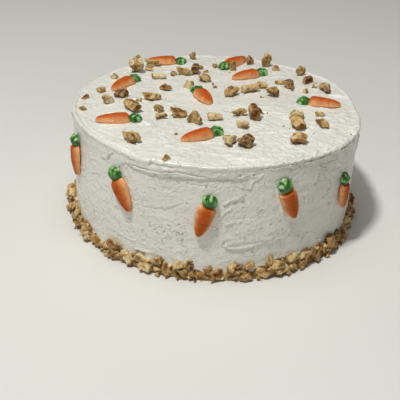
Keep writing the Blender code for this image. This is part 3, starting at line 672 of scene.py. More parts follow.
def top_rings():
    """Points of the top, ring by ring inwards, with fewer points where the rings are small."""
    rings = []
    for outer, inner, steps, count in TOP_RINGS:
        angle = np.tile(ring_angles(count), steps)
        base = np.repeat(outer + (inner - outer) * np.arange(steps) / steps, count) * MM
        outline = wall_radius(angle, np.full(len(angle), CAKE_HEIGHT)) - rim_notch(angle) - CAKE_RADIUS
        radius = base + outline * ease(61.0 * MM, 101.0 * MM, base)
        x, y, _ = polar(angle, radius, base).T
        height = top_height(x, y) + top_relief(x / MM, y / MM)
        rings += list(np.column_stack([x, y, height]).reshape(steps, count, 3))
    return rings


def mesh_object(name, points, faces, materials, attribute=None, values=None):
    """A smooth mesh of triangles and quads, with one colour value for each point if given."""
    mesh = bpy.data.meshes.new(name)
    mesh.from_pydata([tuple(p) for p in np.asarray(points).tolist()], [], faces)
    mesh.shade_smooth()
    if attribute:
        layer = mesh.color_attributes.new(attribute, "FLOAT_COLOR", "POINT")
        layer.data.foreach_set("color", np.asarray(values, np.float32).ravel())
    for made in materials:
        mesh.materials.append(made)
    obj = bpy.data.objects.new(name, mesh)
    bpy.context.scene.collection.objects.link(obj)
    return obj


def ring_faces(rings):
    """The faces between rings of points, each with as many points as the one before it or half as many."""
    starts = np.concatenate([[0], np.cumsum([len(ring) for ring in rings])]).tolist()
    faces = []
    for k in range(len(rings) - 1):
        count, after = len(rings[k]), len(rings[k + 1])
        low, high = starts[k], starts[k + 1]
        if after == count:
            for j in range(count):
                beside = (j + 1) % count
                faces.append((low + j, low + beside, high + beside, high + j))
            continue
        for j in range(after):
            a, b, c = low + 2 * j, low + 2 * j + 1, low + (2 * j + 2) % count
            d, e = high + j, high + (j + 1) % after
            faces += [(a, b, d), (b, e, d), (b, c, e)]
    return faces, starts


def vertex_normals(mesh):
    normals = np.zeros(len(mesh.vertices) * 3)
    mesh.vertex_normals.foreach_get("vector", normals)
    return normals.reshape(-1, 3)


def frosting(finish):
    """The coat in two pieces, the wall and the top with its rim, that meet in one smooth line."""
    rings = wall_rings()
    faces, starts = ring_faces(rings)
    faces += [(starts[-1], (j + 1) % ROUND, j) for j in range(ROUND)]
    wall = mesh_object("frosted_wall", np.vstack(rings + [np.zeros((1, 3))]), faces, [finish])
    over = [rings[-1]] + rim_rings() + top_rings()
    faces, over_starts = ring_faces(over)
    last, count, middle = over_starts[-2], len(over[-1]), over_starts[-1]
    faces += [(last + j, last + (j + 1) % count, middle) for j in range(count)]
    peak = np.array([[0.0, 0.0, over[-1][:, 2].mean()]])
    top = mesh_object("frosted_top", np.vstack(over + [peak]), faces, [finish])
    wall_normals, top_normals = vertex_normals(wall.data), vertex_normals(top.data)
    edge = starts[-2] + np.arange(ROUND)
    shared = wall_normals[edge] + top_normals[:ROUND]
    shared /= np.linalg.norm(shared, axis=1)[:, None]
    wall_normals[edge] = shared
    top_normals[:ROUND] = shared
    wall.data.normals_split_custom_set_from_vertices(wall_normals.tolist())
    top.data.normals_split_custom_set_from_vertices(top_normals.tolist())
    return wall, top


# Walnuts

def unit_vector(draw):
    height = draw.uniform(-1.0, 1.0)
    turn = draw.uniform(0.0, 2.0 * math.pi)
    flat = math.sqrt(1.0 - height * height)
    return Vector((flat * math.cos(turn), flat * math.sin(turn), height))


def walnut_arm(draw, axis, reach, width, back):
    """The flat faces that close in one arm of a piece, as (direction, distance from the middle)."""
    axis = Vector(axis).normalized()
    side = axis.orthogonal().normalized()
    other = axis.cross(side)
    first = draw.uniform(0.0, 2.0 * math.pi)
    faces = [(axis + 0.3 * unit_vector(draw), reach), (0.3 * unit_vector(draw) - axis, back)]
    for k in range(5):
        turn = first + 2.0 * math.pi * (k + draw.uniform(-0.25, 0.25)) / 5
        way = side * math.cos(turn) + other * math.sin(turn) + axis * draw.uniform(-0.1, 0.35)
        faces.append((way, width * draw.uniform(0.8, 1.2)))
    return [(way.normalized(), distance) for way, distance in faces]


def walnut_arms(kind, draw):
    """The arms that one walnut piece is made of."""
    if kind == "half":
        slab = walnut_arm(draw, (1.0, 0.0, 0.0), 1.0, 0.62, 1.0)
        lobes = [(draw.uniform(-0.5, 0.5), side, draw.uniform(0.0, 0.4)) for side in (-1.0, 1.0)]
        return [slab] + [walnut_arm(draw, lobe, 0.8, 0.42, 0.3) for lobe in lobes]
    if kind == "fork":
        first = draw.uniform(0.0, 2.0)
        turns = (first, first + draw.uniform(1.8, 2.3), first + draw.uniform(3.8, 4.5))
        ways = [(math.cos(turn), math.sin(turn), draw.uniform(-0.3, 0.5)) for turn in turns]
        return [walnut_arm(draw, way, draw.uniform(0.8, 1.0), 0.4, 0.3) for way in ways]
    if kind == "bean":
        ways = ((0.9, 0.45, draw.uniform(-0.2, 0.2)), (-0.9, 0.45, draw.uniform(-0.2, 0.2)))
        return [walnut_arm(draw, way, 0.95, 0.5, 0.38) for way in ways]
    if kind == "flake":
        return [walnut_arm(draw, (1.0, 0.0, 0.0), 1.0, 0.75, 1.0)]
    body = walnut_arm(draw, unit_vector(draw), 0.85, 0.72, 0.8)
    return [body, walnut_arm(draw, unit_vector(draw), 1.1, 0.42, 0.3)]


def nut_reach(kind, seed, directions):
    """How far a piece reaches in each direction, how much of that is skin, and how near an edge it is."""
    draw = random.Random(seed)
    total = np.zeros(len(directions))
    skin, edge = np.zeros(len(directions)), np.zeros(len(directions))
    for faces in walnut_arms(kind, draw):
        ways, distances = np.array([way for way, _ in faces]), np.array([distance for _, distance in faces])
        hold = (np.maximum(directions @ ways.T, 0.0) / distances) ** CORNER_POWER
        held = hold.sum(1)
        weight = held ** (-ARM_POWER / CORNER_POWER)
        has_skin = np.array([draw.random() < SKIN_SHARE for _ in faces], float)
        skin += weight * (hold @ has_skin) / held
        edge += weight * (1.0 - hold.max(1) / held)
        total += weight
    return total ** (1.0 / ARM_POWER), skin / total, edge / total


def ball_mesh(level):
    made = bmesh.new()
    bmesh.ops.create_icosphere(made, subdivisions=level, radius=1.0)
    made.verts.ensure_lookup_table()
    directions = np.array([v.co.normalized() for v in made.verts])
    faces = np.array([[v.index for v in face.verts] for face in made.faces])
    made.free()
    return directions, faces


BALLS = {level: ball_mesh(level) for level in (3, 4, 5)}


def nut_piece(kind, seed, size, turn, middle, level, tone):
    """Points, faces and colour values of one walnut piece about its middle."""
    directions, faces = BALLS[level]
    reach, skin, edge = nut_reach(kind, seed, directions)
    points = directions * reach[:, None]
    low, high = points.min(0), points.max(0)
    points = ((points - low) / (high - low) - 0.5) * np.array(size)
    spots = points / MM + 13.7 * (seed % 97)
    skin = clamp01(1.3 * skin - 0.15 + 0.9 * smooth_noise(spots / 3.6, 11))
    lobes = np.abs(smooth_noise(spots / 3.7, 3) + 0.2 * smooth_noise(spots / 1.7, 4))
    small = np.abs(smooth_noise(spots / 2.0, 23))
    if kind == "half":
        ribs = np.abs(np.sin(spots[:, 0] * 0.8 + 1.8 * smooth_noise(spots / 4.0, 13)))
        lobes = 0.35 * lobes + 0.55 * ribs
    fine = layered_noise(spots / 1.2, 2, 5)
    out = points / np.maximum(np.linalg.norm(points, axis=1), 1e-6)[:, None]
    thin = min(1.0, min(size) / (6.0 * MM))
    broken = 1.0 - skin
    folds = (0.5 + 0.5 * skin) * (np.sqrt(lobes) - 0.5)
    hollow = clamp01((smooth_noise(spots / 3.3, 29) - 0.3) / 0.35)
    depth = folds + 0.2 * (np.sqrt(small) - 0.45) + 0.05 * fine
    depth = depth + 0.4 * layered_noise(spots / 4.2, 2, 17) - 0.9 * hollow
    points = points + out * (thin * depth)[:, None] * MM
    # Painted shade: how much darker each point is drawn in the folds, hollows and pits of the piece, where
    # shade falls
    deep = 0.5 * bump(lobes, 0.3) + 0.35 * bump(lobes, 0.1) + 0.15 * bump(small, 0.2)
    crease_shade = clamp01(deep * (0.45 + 0.55 * skin) + 0.6 * hollow + 0.15 * broken * clamp01(-fine - 0.4))
    worn = clamp01(2.2 * edge - 0.35)
    values = np.column_stack([skin, np.full(len(points), tone), crease_shade, worn])
    placed = points @ np.array(turn).T + np.array(middle)
    return placed, faces, values


def kept_in_box(points):
    """Points of a piece, moved back where they reach beyond the solids' box."""
    low, high = np.array(CAD_BOX[0]), np.array(CAD_BOX[1])
    return points + np.minimum(high - points.max(0), 0.0) + np.maximum(low - points.min(0), 0.0)


def joined(name, parts, materials, attribute):
    """One object from many (points, faces, values)."""
    offset, points, faces, values = 0, [], [], []
    for part_points, part_faces, part_values in parts:
        points.append(part_points)
        faces.append(part_faces + offset)
        values.append(part_values)
        offset += len(part_points)
    faces = np.vstack(faces).tolist()
    return mesh_object(name, np.vstack(points), faces, materials, attribute, np.vstack(values))


def bed_height(x, y):
    """The height of the top at one place in millimetres."""
    return float(top_height(np.array([x * MM]), np.array([y * MM]))[0])


def top_nut(row, number, box, sink):
    """A piece of the top, on the underside of its solid's box or, if it has none, on the frosting."""
    x, y, length, width, height, heading, kind, tone = row
    turn = Matrix.Rotation(math.radians(heading), 3, "Z")
    level = 5 if length > FINE_MESH_FROM else 4
    low = (box[0].z if box else bed_height(x, y)) - sink
    middle = Vector((x * MM, y * MM, low + height * MM / 2))
    size = (length * MM, width * MM, height * MM)
    points, faces, values = nut_piece(kind, number, size, turn, middle, level, tone)
    return kept_in_box(points), faces, values


def top_walnuts(finish):
    parts = []
    for number, row in enumerate(WALNUTS, 1):
        parts.append(top_nut(row, number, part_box(f"walnut_{number:02d}"), NUT_SINK))
    for number, row in enumerate(WALNUT_BITS, 1):
        parts.append(top_nut(row, len(WALNUTS) + number, None, BIT_SINK))
    return joined("chopped_walnuts", parts, [finish], "nut")


def spot(radius, turn, height):
    """A point at a radius and at an angle in radians."""
    return Vector((radius * math.cos(turn), radius * math.sin(turn), height))


def turned(about_z, about_x):
    return Matrix.Rotation(about_z, 3, "Z") @ Matrix.Rotation(about_x, 3, "X")


def border_swell(angle):
    return MM * swells(math.degrees(angle), BORDER_SWELLS)


def border_pieces():
    """Where each piece of the border lies: seed, middle of its underside, size and turn."""
    draw = random.Random(BORDER_SEED)
    pieces = []
    seed = ROW_SEED
    for count, height, out, share in BORDER_ROWS:
        for i in range(count):
            seed += 1
            angle = 2.0 * math.pi * (i + draw.uniform(-0.3, 0.3)) / count
            radius = CAKE_RADIUS + out + border_swell(angle) + draw.uniform(-1.0, 1.4) * MM
            lift = height + draw.uniform(-0.3, 1.0) * MM
            length, width = draw.uniform(*BORDER_LENGTHS), draw.uniform(*BORDER_WIDTHS)
            size = (length, width, draw.uniform(*BORDER_WIDTHS))
            tumble = Matrix.Rotation(draw.uniform(-0.7, 0.7), 3, "X")
            tumble = tumble @ Matrix.Rotation(draw.uniform(-0.6, 0.6), 3, "Y")
            turn = Matrix.Rotation(angle + math.pi / 2 + draw.uniform(-0.5, 0.5), 3, "Z") @ tumble
            if draw.random() > share:
                continue
            pieces.append((seed, spot(radius, angle, lift), size, turn))
    for angle, height in BORDER_HIGH:
        seed += 1
        turn = math.radians(angle)
        foot = spot(CAKE_RADIUS, turn, height * MM)
        size = (BORDER_WIDTHS[0], BORDER_WIDTHS[0], BORDER_LENGTHS[0])
        pieces.append((seed, foot, size, Matrix.Rotation(turn + math.pi / 2, 3, "Z")))
    return pieces


def border_chips():
    """Small chips that fill the gaps of the border, and crumbs that lie just outside it."""
    draw = random.Random(BORDER_SEED + 1)
    chips = []
    for _ in range(CHIPS):
        angle = draw.uniform(0.0, 2.0 * math.pi)
        near = draw.random()
        swell = border_swell(angle)
        radius = CAKE_RADIUS + (1.4 + 4.4 * near) * MM + 0.8 * swell
        size = [draw.uniform(*span) * MM for span in CHIP_SIZES]
        turn = turned(draw.uniform(0.0, 6.28), draw.uniform(-1.0, 1.0))
        lift = draw.uniform(0.1, 10.5) * (1.0 - near) ** 0.6
        chips.append((spot(radius, angle, lift * MM), size, turn))
    for _ in range(OUTER_CRUMBS):
        angle = draw.uniform(0.0, 2.0 * math.pi)
        radius = CAKE_RADIUS + 0.8 * border_swell(angle) + draw.uniform(4.4, 6.6) * MM
        width = draw.uniform(0.7, 1.6) * MM
        turn = Matrix.Rotation(draw.uniform(0.0, 6.28), 3, "Z")
        chips.append((spot(radius, angle, 0.0), (width, 0.8 * width, 0.7 * width), turn))
    return chips


def ring_triangles(low, high, count):
    """The faces between two rings of points, from the number of each ring's first point."""
    faces = []
    for j in range(count):
        m = (j + 1) % count
        faces += [(low + j, low + m, high + m), (low + j, high + m, high + j)]
    return faces


def border_core_part():
    """The low lumpy mass behind the border's pieces."""
    count = CORE_POINTS
    angle = ring_angles(count)
    points = []
    for out, up in CORE_SECTION:
        lump = smooth_noise(polar(angle, 30.0, np.full(count, up * 3.0)), 5)
        radius = CAKE_RADIUS + out * BORDER_CORE_WIDTH * (1.0 + 0.35 * lump * (out > 0))
        points.append(polar(angle, radius, up * 0.9 * BORDER_CORE_HEIGHT * (1.0 + 0.4 * lump * (up > 0.1))))
    faces = []
    for k in range(len(CORE_SECTION)):
        faces += ring_triangles(k * count, (k + 1) % len(CORE_SECTION) * count, count)
    points = np.vstack(points)
    mottled = clamp01(0.5 + smooth_noise(points / MM / 3.0, 9))
    # Its third value is painted crease shade, here in mottled patches between the pieces
    values = np.column_stack([mottled, np.full(len(points), 0.5), 0.5 * mottled, np.zeros(len(points))])
    return points, np.array(faces), values


def border_nut(kind, seed, size, turn, foot, level, tone):
    """A piece of the border that stands on its foot."""
    points, faces, values = nut_piece(kind, seed, size, turn, (0.0, 0.0, 0.0), level, tone)
    points = points + np.array(foot) - np.array((0.0, 0.0, points[:, 2].min()))
    return kept_in_box(points), faces, values


def walnut_edging(finish):
    """The border in two pieces: the larger nuts, and the chips between them."""
    draw = random.Random(BORDER_SEED + 2)
    large, small = [], [border_core_part()]
    for seed, foot, size, turn in border_pieces():
        kind = BORDER_KINDS[seed % len(BORDER_KINDS)]
        large.append(border_nut(kind, seed, size, turn, foot, 4, draw.choice(BORDER_TONES)))
    for number in range(EXTRA_PIECES):
        angle = 2.0 * math.pi * (number + draw.uniform(-0.4, 0.4)) / EXTRA_PIECES
        radius = CAKE_RADIUS + draw.uniform(0.6, 2.2) * MM + 0.5 * border_swell(angle)
        foot = spot(radius, angle, draw.uniform(4.5, 9.0) * MM)
        size = [draw.uniform(*span) * MM for span in EXTRA_SIZES]
        turn = turned(angle + draw.uniform(-1.2, 1.2), draw.uniform(-0.9, 0.9))
        kind, tone = draw.choice(BORDER_KINDS), draw.uniform(0.0, 0.95)
        large.append(border_nut(kind, EXTRA_SEED + number, size, turn, foot, 4, tone))
    for number, (foot, size, turn) in enumerate(border_chips()):
        tone = draw.uniform(0.0, 0.9)
        small.append(border_nut("chunk", CHIP_SEED + number, size, turn, foot, 3, tone))
    return joined("border_walnuts", large, [finish], "nut"), joined("border_chips", small, [finish], "nut")


def walnut_crumbs(finish):
    parts = []
    for number, (x, y, width) in enumerate(CRUMBS):
        turn = Matrix.Rotation(0.7 * number, 3, "Z")
        size = (width * MM, 0.8 * width * MM, 0.7 * width * MM)
        middle = Vector((x * MM, y * MM, bed_height(x, y) + 0.25 * width * MM))
        tone = 0.8 if number % 2 else 0.3
        parts.append(nut_piece("chunk", CRUMB_SEED + number, size, turn, middle, 3, tone))
    return joined("walnut_crumbs", parts, [finish], "nut")


# Sugar carrots

CARROT_LENGTH = 34.0 * MM
ROOT_LENGTH = 25.0 * MM
ROOT_HALF_WIDTH = 6.3 * MM
ROOT_THICKNESS = 5.4 * MM
WIDEST_AT = 0.8  # where the root is widest, as a share of its length from the tip
LEAF_RADIUS = 5.3 * MM
LEAF_THICKNESS = 4.8 * MM
LEAF_START = 0.8  # where the leaves meet, as a share of the tuft's radius towards the root
LEAF_SPACING = 0.62  # angle from one leaf to the next, in radians
ROOT_STATIONS = 44  # rings of points along the root
ROOT_ARCH = 24  # points in each ring
ROOT_GROOVES = 8


def root_half_width(share):
    """Half the root's width at a share of its length from the tip: a full cone with round shoulders."""
    cone = (1.0 - (1.0 - np.minimum(share, WIDEST_AT) / WIDEST_AT) ** 2) ** 0.55
    beyond = np.maximum(share - WIDEST_AT, 0.0) / (1.0 - WIDEST_AT)
    return ROOT_HALF_WIDTH * cone * np.sqrt(1.0 - 0.75 * beyond ** 2)


def sugar_values(pale, crease_shade):
    """The colour values of moulded sugar: how pale it is, which on the leaves is painted light, and how
    much painted shade it gets in a crease.
    """
    return np.column_stack([pale, crease_shade, np.zeros(len(pale)), np.ones(len(pale))])


def carrot_root(seed):
    """A moulded root about its own back's middle: points, faces and colour values."""
    draw = random.Random(seed)
    share = 0.002 + 0.998 * (0.5 - 0.5 * np.cos(np.linspace(0.0, math.pi, ROOT_STATIONS)))
    lean = np.linspace(0.0, math.pi, ROOT_ARCH)
    share, lean = np.repeat(share, ROOT_ARCH), np.tile(lean, ROOT_STATIONS)
    half = root_half_width(share)
    thick = ROOT_THICKNESS * (0.3 + 0.7 * half / ROOT_HALF_WIDTH) * np.minimum(1.0, share / 0.04) ** 0.5
    thick = thick * (1.0 - 0.45 * ease(0.9, 1.0, share))
    groove = np.zeros(len(share))
    for _ in range(ROOT_GROOVES):
        place, side = draw.uniform(0.12, 0.92), draw.uniform(0.4, math.pi - 0.4)
        groove += draw.uniform(0.1, 0.26) * bump(share - place, 0.013) * bump(lean - side, 0.7)
    x = share * ROOT_LENGTH - CARROT_LENGTH / 2
    y = half * np.cos(lean)
    z = thick * np.sin(lean) ** 0.8
    points = np.column_stack([x, y, z])
    uneven = 0.2 * smooth_noise(points / MM / 5.0 + 31.0 * seed, 5)
    uneven = uneven + 0.07 * smooth_noise(points / MM / 1.4 + seed, 7)
    out = np.column_stack([np.zeros(len(x)), np.cos(lean), np.sin(lean)])
    points = points + out * ((uneven - groove) * np.sin(lean))[:, None] * MM
    faces = []
    for s in range(ROOT_STATIONS - 1):
        faces += ring_triangles(s * ROOT_ARCH, (s + 1) * ROOT_ARCH, ROOT_ARCH)
    for first in (0, (ROOT_STATIONS - 1) * ROOT_ARCH):
        for k in range(1, ROOT_ARCH - 1):
            face = (first, first + k + 1, first + k)
            faces.append(face if first == 0 else face[::-1])
    edge = 1.4 * (1.0 - np.sin(lean)) ** 1.2
    tip = bump(share, 0.05)
    patch = 0.35 * smooth_noise(points / MM / 3.2 + 7.0 * seed, 19)
    paler = clamp01(edge * (1.0 + patch) + 0.5 * tip)
    # The colour values: paler edges and tip, and painted shade in the grooves
    return points, np.array(faces), sugar_values(paler, groove * 3.0)


def carrot_leaves(seed):
    """A tuft at the end of the root: leaves that fan out from its shoulder, with a scalloped edge."""
    draw = random.Random(seed)
    directions, faces = BALLS[5]
    x, y, up = directions.T
    lumps = smooth_noise(directions * 2.3 + 17.0 * seed, 3)
    fan = np.arctan2(y, x + LEAF_START) + 0.1 * smooth_noise(directions * 1.5 + 5.0 * seed, 9)
    leaf = 0.5 + 0.5 * np.cos(2.0 * math.pi * fan / LEAF_SPACING + draw.uniform(-1.0, 1.0))
    far = np.hypot(x + LEAF_START, y) / (1.0 + LEAF_START)
    out = ease(0.25, 0.8, far)
    reach = 1.0 + out * (0.16 * (leaf - 0.5) + 0.12 * lumps)
    height = np.maximum(up, 0.0) ** 0.8 * (1.0 + out * (0.24 * (leaf - 0.6) + 0.2 * lumps))
    points = np.column_stack([x * reach, y * reach, height])
    span = np.abs(points).max(0)
    points *= np.array([LEAF_RADIUS * 1.05, LEAF_RADIUS * 1.03, LEAF_THICKNESS]) / span
    points[:, 0] += CARROT_LENGTH / 2 - LEAF_RADIUS - 0.5 * MM
    # Painted shade: darker between the leaves, in the low lumps and at the middle near the root
    groove = 0.85 * bump(leaf, 0.4) * out + 0.6 * clamp01(-lumps - 0.1)
    groove = clamp01(groove + 0.5 * (1.0 - ease(0.1, 0.5, far)))
    # Painted light: paler towards the leaf tips and on raised lumps, as highlights, and dark low near the
    # root and in hollows, as shade
    painted_leaf_light = clamp01(1.1 * ease(0.35, 0.95, far) * (0.5 + 0.5 * leaf) + 0.55 * lumps)
    return points, faces, sugar_values(painted_leaf_light, groove)


def carrot_places():
    """The middle of each carrot's back, the directions of its length, width and thickness, and its size."""
    places = []
    for number, (x, y, heading) in enumerate(TOP_CARROTS, 1):
        turn = Matrix.Rotation(math.radians(heading), 3, "Z")
        middle = Vector((x * MM, y * MM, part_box(f"carrot_top_{number}")[0].z))
        places.append((middle, turn @ Vector((1, 0, 0)), turn @ Vector((0, 1, 0)), Vector((0, 0, 1)), 1.0))
    for number, (angle, height, lean, size) in enumerate(SIDE_CARROTS, 1):
        turn, tilt = math.radians(angle), math.radians(lean)
        radial = spot(1.0, turn, 0.0)
        tangent = Vector((-math.sin(turn), math.cos(turn), 0.0))
        along = Vector((0, 0, 1)) * math.cos(tilt) - tangent * math.sin(tilt)
        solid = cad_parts[f"carrot_side_{number:02d}"]
        back = min(v.co.dot(radial) for v in solid.data.vertices)
        middle = radial * back + Vector((0, 0, height * MM))
        places.append((middle, along, radial.cross(along), radial, size))
    return places


def sugar_carrots(root_finish, leaf_finish):
    parts, is_leaf = [], []
    for seed, (middle, along, across, up, size) in enumerate(carrot_places(), 1):
        axes = size * np.array([along, across, up])
        for which, (points, faces, values) in enumerate((carrot_root(seed), carrot_leaves(seed))):
            parts.append((points @ axes + np.array(middle), faces, values))
            is_leaf += [which] * len(faces)
    carrots = joined("sugar_carrots", parts, [root_finish, leaf_finish], "sugar")
    carrots.data.polygons.foreach_set("material_index", is_leaf)
    return carrots


# Finishes

def shader_material(name):
    made = bpy.data.materials.new(name)
    made.use_nodes = True
    return made, made.node_tree, made.node_tree.nodes["Principled BSDF"]


def fill(tree, node, values):
    """Sets each input of a node, or links it to the output of another node."""
    for place, value in values.items():
        if isinstance(value, bpy.types.NodeSocket):
            tree.links.new(value, node.inputs[place])
        else:
            node.inputs[place].default_value = value


def add_node(tree, kind, values):
    node = tree.nodes.new(kind)
    fill(tree, node, values)
    return node


def glow(weight, radius):
    """Light that passes through the outer millimetre."""
    return {"Subsurface Weight": weight, "Subsurface Radius": radius, "Subsurface Scale": MM}


def grey(value):
    return (value, value, value)


def calculated(tree, operation, *values):
    node = add_node(tree, "ShaderNodeMath", dict(enumerate(values)))
    node.operation = operation
    return node.outputs[0]


def ramp(tree, factor, stops):
    node = add_node(tree, "ShaderNodeValToRGB", {"Fac": factor})
    elements = node.color_ramp.elements
    while len(elements) < len(stops):
        elements.new(0.5)
    for element, (position, colour) in zip(elements, stops):
        element.position = position
        element.color = (*colour, 1.0)
    return node.outputs["Color"]


def blend(tree, factor, low, high):
    """From one colour to the other over the middle of a noise."""
    return ramp(tree, factor, ((0.3, low), (0.7, high)))


def mixed(tree, factor, first, second, mode="MIX"):
    node = tree.nodes.new("ShaderNodeMix")
    node.data_type = "RGBA"
    node.blend_type = mode
    second = (*second, 1.0) if isinstance(second, tuple) else second
    fill(tree, node, {0: factor, 6: first, 7: second})
    return node.outputs[2]


def noise_texture(tree, scale, detail=3.0, roughness=0.5):
    place = tree.nodes.new("ShaderNodeTexCoord").outputs["Object"]
    values = {"Vector": place, "Scale": scale, "Detail": detail, "Roughness": roughness}
    return add_node(tree, "ShaderNodeTexNoise", values).outputs["Fac"]


def bumped(tree, height, distance):
    values = {"Strength": 1.0, "Distance": distance, "Height": height}
    return add_node(tree, "ShaderNodeBump", values).outputs["Normal"]


def attribute_channels(tree, name):
    source = tree.nodes.new("ShaderNodeAttribute")
    source.attribute_name = name
    split = add_node(tree, "ShaderNodeSeparateColor", {"Color": source.outputs["Color"]})
    return split.outputs["Red"], split.outputs["Green"], split.outputs["Blue"], source.outputs["Alpha"]


def frosting_finish():
    """Cream frosting with flecks in patches, low drawn lines and fine grain."""
    made, tree, shader = shader_material("cream_frosting")
    flecks = ramp(tree, noise_texture(tree, 230.0, 2.5, 0.6), ((0.57, grey(0.0)), (0.63, grey(1.0))))
    patches = ramp(tree, noise_texture(tree, 42.0, 1.0), ((0.44, grey(0.0)), (0.6, grey(1.0))))
    line_stops = ((0.45, grey(0.0)), (0.5, grey(1.0)), (0.54, grey(0.0)))
    lines = ramp(tree, noise_texture(tree, 95.0, 3.0, 0.6), line_stops)
    height = calculated(tree, "MULTIPLY", flecks, patches)
    height = calculated(tree, "MULTIPLY_ADD", lines, 0.45, height)
    height = calculated(tree, "MULTIPLY_ADD", noise_texture(tree, 420.0, 4.0, 0.6), 0.35, height)
    look = {
        "Base Color": blend(tree, noise_texture(tree, 38.0), (0.765, 0.758, 0.685), (0.81, 0.805, 0.735)),
        "Roughness": blend(tree, noise_texture(tree, 160.0, 2.0), grey(0.26), grey(0.4)),
        "Specular IOR Level": 0.5,
        "Coat Weight": 0.3,
        "Coat Roughness": 0.14,
        "Normal": bumped(tree, height, 0.4 * MM),
    }
    fill(tree, shader, {**look, **glow(0.08, (0.9, 0.75, 0.55))})
    return made


def walnut_finish():
    """Walnut from dark skin to pale flesh, with painted shade in its creases and hollows, and lighter where
    an edge is worn.
    """
    made, tree, shader = shader_material("chopped_walnut")
    skin, tone, crease_shade, worn = attribute_channels(tree, "nut")
    mottle = noise_texture(tree, 290.0, 2.5, 0.55)
    shade = calculated(tree, "SUBTRACT", calculated(tree, "MULTIPLY_ADD", mottle, 0.9, tone), 0.42)
    skin_stops = (
        (0.0, (0.53, 0.36, 0.13)),
        (0.3, (0.4, 0.23, 0.07)),
        (0.65, (0.25, 0.11, 0.024)),
        (1.0, (0.12, 0.042, 0.008)),
    )
    flesh_stops = (
        (0.0, (0.85, 0.74, 0.5)),
        (0.3, (0.73, 0.57, 0.29)),
        (0.6, (0.61, 0.42, 0.165)),
        (1.0, (0.46, 0.25, 0.07)),
    )
    colour = mixed(tree, skin, ramp(tree, shade, flesh_stops), ramp(tree, shade, skin_stops))
    # Painted shade: the colour is multiplied darker where the crease shade value is high
    dark = mixed(tree, 1.0, colour, (0.38, 0.23, 0.1), "MULTIPLY")
    colour = mixed(tree, crease_shade, colour, dark)
    light = mixed(tree, 0.5, colour, (0.72, 0.54, 0.28))
    look = {
        "Base Color": mixed(tree, worn, colour, light),
        "Roughness": blend(tree, mottle, grey(0.26), grey(0.42)),
        "Specular IOR Level": 0.2,
        "Coat Weight": 0.15,
        "Coat Roughness": 0.2,
        "Normal": bumped(tree, noise_texture(tree, 1100.0, 2.0, 0.55), 0.14 * MM),
    }
    fill(tree, shader, {**look, **glow(0.15, (1.0, 0.6, 0.25))})
    return made


def root_finish():
    made, tree, shader = shader_material("sugar_orange")
    pale, crease_shade, _, _ = attribute_channels(tree, "sugar")
    grain = noise_texture(tree, 500.0, 3.0, 0.6)
    orange = blend(tree, grain, (0.4, 0.066, 0.003), (0.56, 0.112, 0.008))
    colour = mixed(tree, pale, orange, (0.86, 0.44, 0.2))
    look = {
        # Painted shade: darker orange in the grooves
        "Base Color": mixed(tree, crease_shade, colour, (0.34, 0.05, 0.004)),
        "Roughness": blend(tree, grain, grey(0.45), grey(0.62)),
        "Specular IOR Level": 0.12,
        "Normal": bumped(tree, noise_texture(tree, 1500.0, 2.0), 0.18 * MM),
    }
    fill(tree, shader, {**look, **glow(0.08, (1.0, 0.45, 0.2))})
    return made


def leaf_finish():
    made, tree, shader = shader_material("sugar_green")
    painted_leaf_light, crease_shade, _, _ = attribute_channels(tree, "sugar")
    grain = noise_texture(tree, 380.0)
    # From painted shade, dark green, through the leaves' own greens to a painted highlight, pale green
    stops = (
        (0.0, (0.02, 0.12, 0.012)),
        (0.35, (0.06, 0.27, 0.025)),
        (0.7, (0.17, 0.45, 0.07)),
        (1.0, (0.48, 0.7, 0.3)),
    )
    grained = ramp(tree, grain, ((0.4, (0.03, 0.16, 0.025)), (0.7, (0.25, 0.5, 0.2))))
    colour = mixed(tree, 0.3, ramp(tree, painted_leaf_light, stops), grained)
    look = {
        # Painted shade: darker green in the creases
        "Base Color": mixed(tree, crease_shade, colour, (0.012, 0.07, 0.008)),
        "Roughness": 0.36,
        "Normal": bumped(tree, grain, 0.2 * MM),
    }
    fill(tree, shader, {**look, **glow(0.06, (0.3, 1.0, 0.3))})
    return made


def floor_finish():
    made, tree, shader = shader_material("pale_floor")
    tone = blend(tree, noise_texture(tree, 3.0, 2.0), (0.73, 0.722, 0.68), (0.75, 0.742, 0.7))
    fill(tree, shader, {"Base Color": tone, "Roughness": 0.75})
    return made


# The stage, the camera and the lights

# The camera, with its lens and sensor in millimetres
CAMERA_EYE = (-0.00388, -0.56476, 0.32049)
CAMERA_RIGHT = (0.999328, 0.025004, 0.026789)
CAMERA_UP = (-0.035607, 0.489842, 0.871084)
CAMERA_FORWARD = (-0.008658, 0.871453, -0.490403)
CAMERA_LENS = 72.75
SENSOR_WIDTH = 36.0
FLOOR_HALF = 6.0  # metres
LIGHTS_AIM = (0.0, 0.0, 0.05)
# The lights: name, place, width in metres, watts, colour
LIGHTS = (
    ("key", (-0.38, -0.5, 1.5), 0.17, 18.2, (1.0, 0.995, 0.975)),
    ("front_fill", (-0.2, -1.5, 0.5), 0.9, 1.4, (1.0, 0.99, 0.96)),
    ("ceiling", (0.0, 0.1, 1.9), 1.6, 8.0, (1.0, 0.99, 0.96)),
)


def add_floor(finish):
    corners = [(x * FLOOR_HALF, y * FLOOR_HALF, 0.0) for x, y in ((-1, -1), (1, -1), (1, 1), (-1, 1))]
    mesh_object("floor", corners, [(0, 1, 2, 3)], [finish])


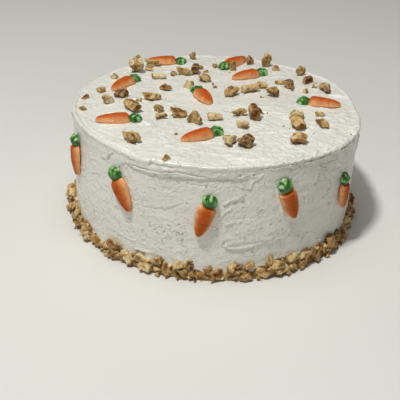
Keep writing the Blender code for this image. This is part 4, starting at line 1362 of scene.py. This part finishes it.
def add_camera():
    camera = bpy.data.objects.new("camera", bpy.data.cameras.new("camera"))
    bpy.context.scene.collection.objects.link(camera)
    axes = Matrix((CAMERA_RIGHT, CAMERA_UP, -Vector(CAMERA_FORWARD))).transposed().to_4x4()
    camera.matrix_world = Matrix.Translation(CAMERA_EYE) @ axes
    camera.data.lens = CAMERA_LENS
    camera.data.sensor_width = SENSOR_WIDTH
    camera.data.clip_start = 0.01
    bpy.context.scene.camera = camera


def add_light(name, place, size, power, colour):
    light = bpy.data.lights.new(name, "AREA")
    light.shape = "DISK"
    light.size = size
    light.energy = power
    light.color = colour
    obj = bpy.data.objects.new(name, light)
    obj.location = place
    obj.rotation_euler = (Vector(LIGHTS_AIM) - Vector(place)).to_track_quat("-Z", "Y").to_euler()
    bpy.context.scene.collection.objects.link(obj)


def add_lights():
    for row in LIGHTS:
        add_light(*row)
    world = bpy.data.worlds.new("soft_room")
    world.use_nodes = True
    backdrop = {"Color": (1.0, 0.98, 0.93, 1.0), "Strength": 0.09}
    fill(world.node_tree, world.node_tree.nodes["Background"], backdrop)
    bpy.context.scene.world = world
    bpy.context.scene.view_settings.view_transform = "Standard"


def main():
    wall, top = frosting(frosting_finish())
    walnut = walnut_finish()
    edging, chips = walnut_edging(walnut)
    roots = [f"carrot_top_{number}" for number in range(1, len(TOP_CARROTS) + 1)]
    roots += [f"carrot_side_{number:02d}" for number in range(1, len(SIDE_CARROTS) + 1)]
    made = (
        (wall, "frosting", ["frosted_cake"]),
        (top, "frosting", ["frosted_cake"]),
        (top_walnuts(walnut), "walnut", [f"walnut_{number:02d}" for number in range(1, len(WALNUTS) + 1)]),
        (edging, "walnut", ["walnut_border"]),
        (chips, "walnut", ["walnut_border"]),
        (walnut_crumbs(walnut), "walnut", []),
        (sugar_carrots(root_finish(), leaf_finish()), "sugar_carrot", roots),
    )
    for piece, slot, nodes in made:
        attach(piece, "root")
        if nodes:
            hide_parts(*nodes)
    add_floor(floor_finish())
    add_camera()
    add_lights()


main()
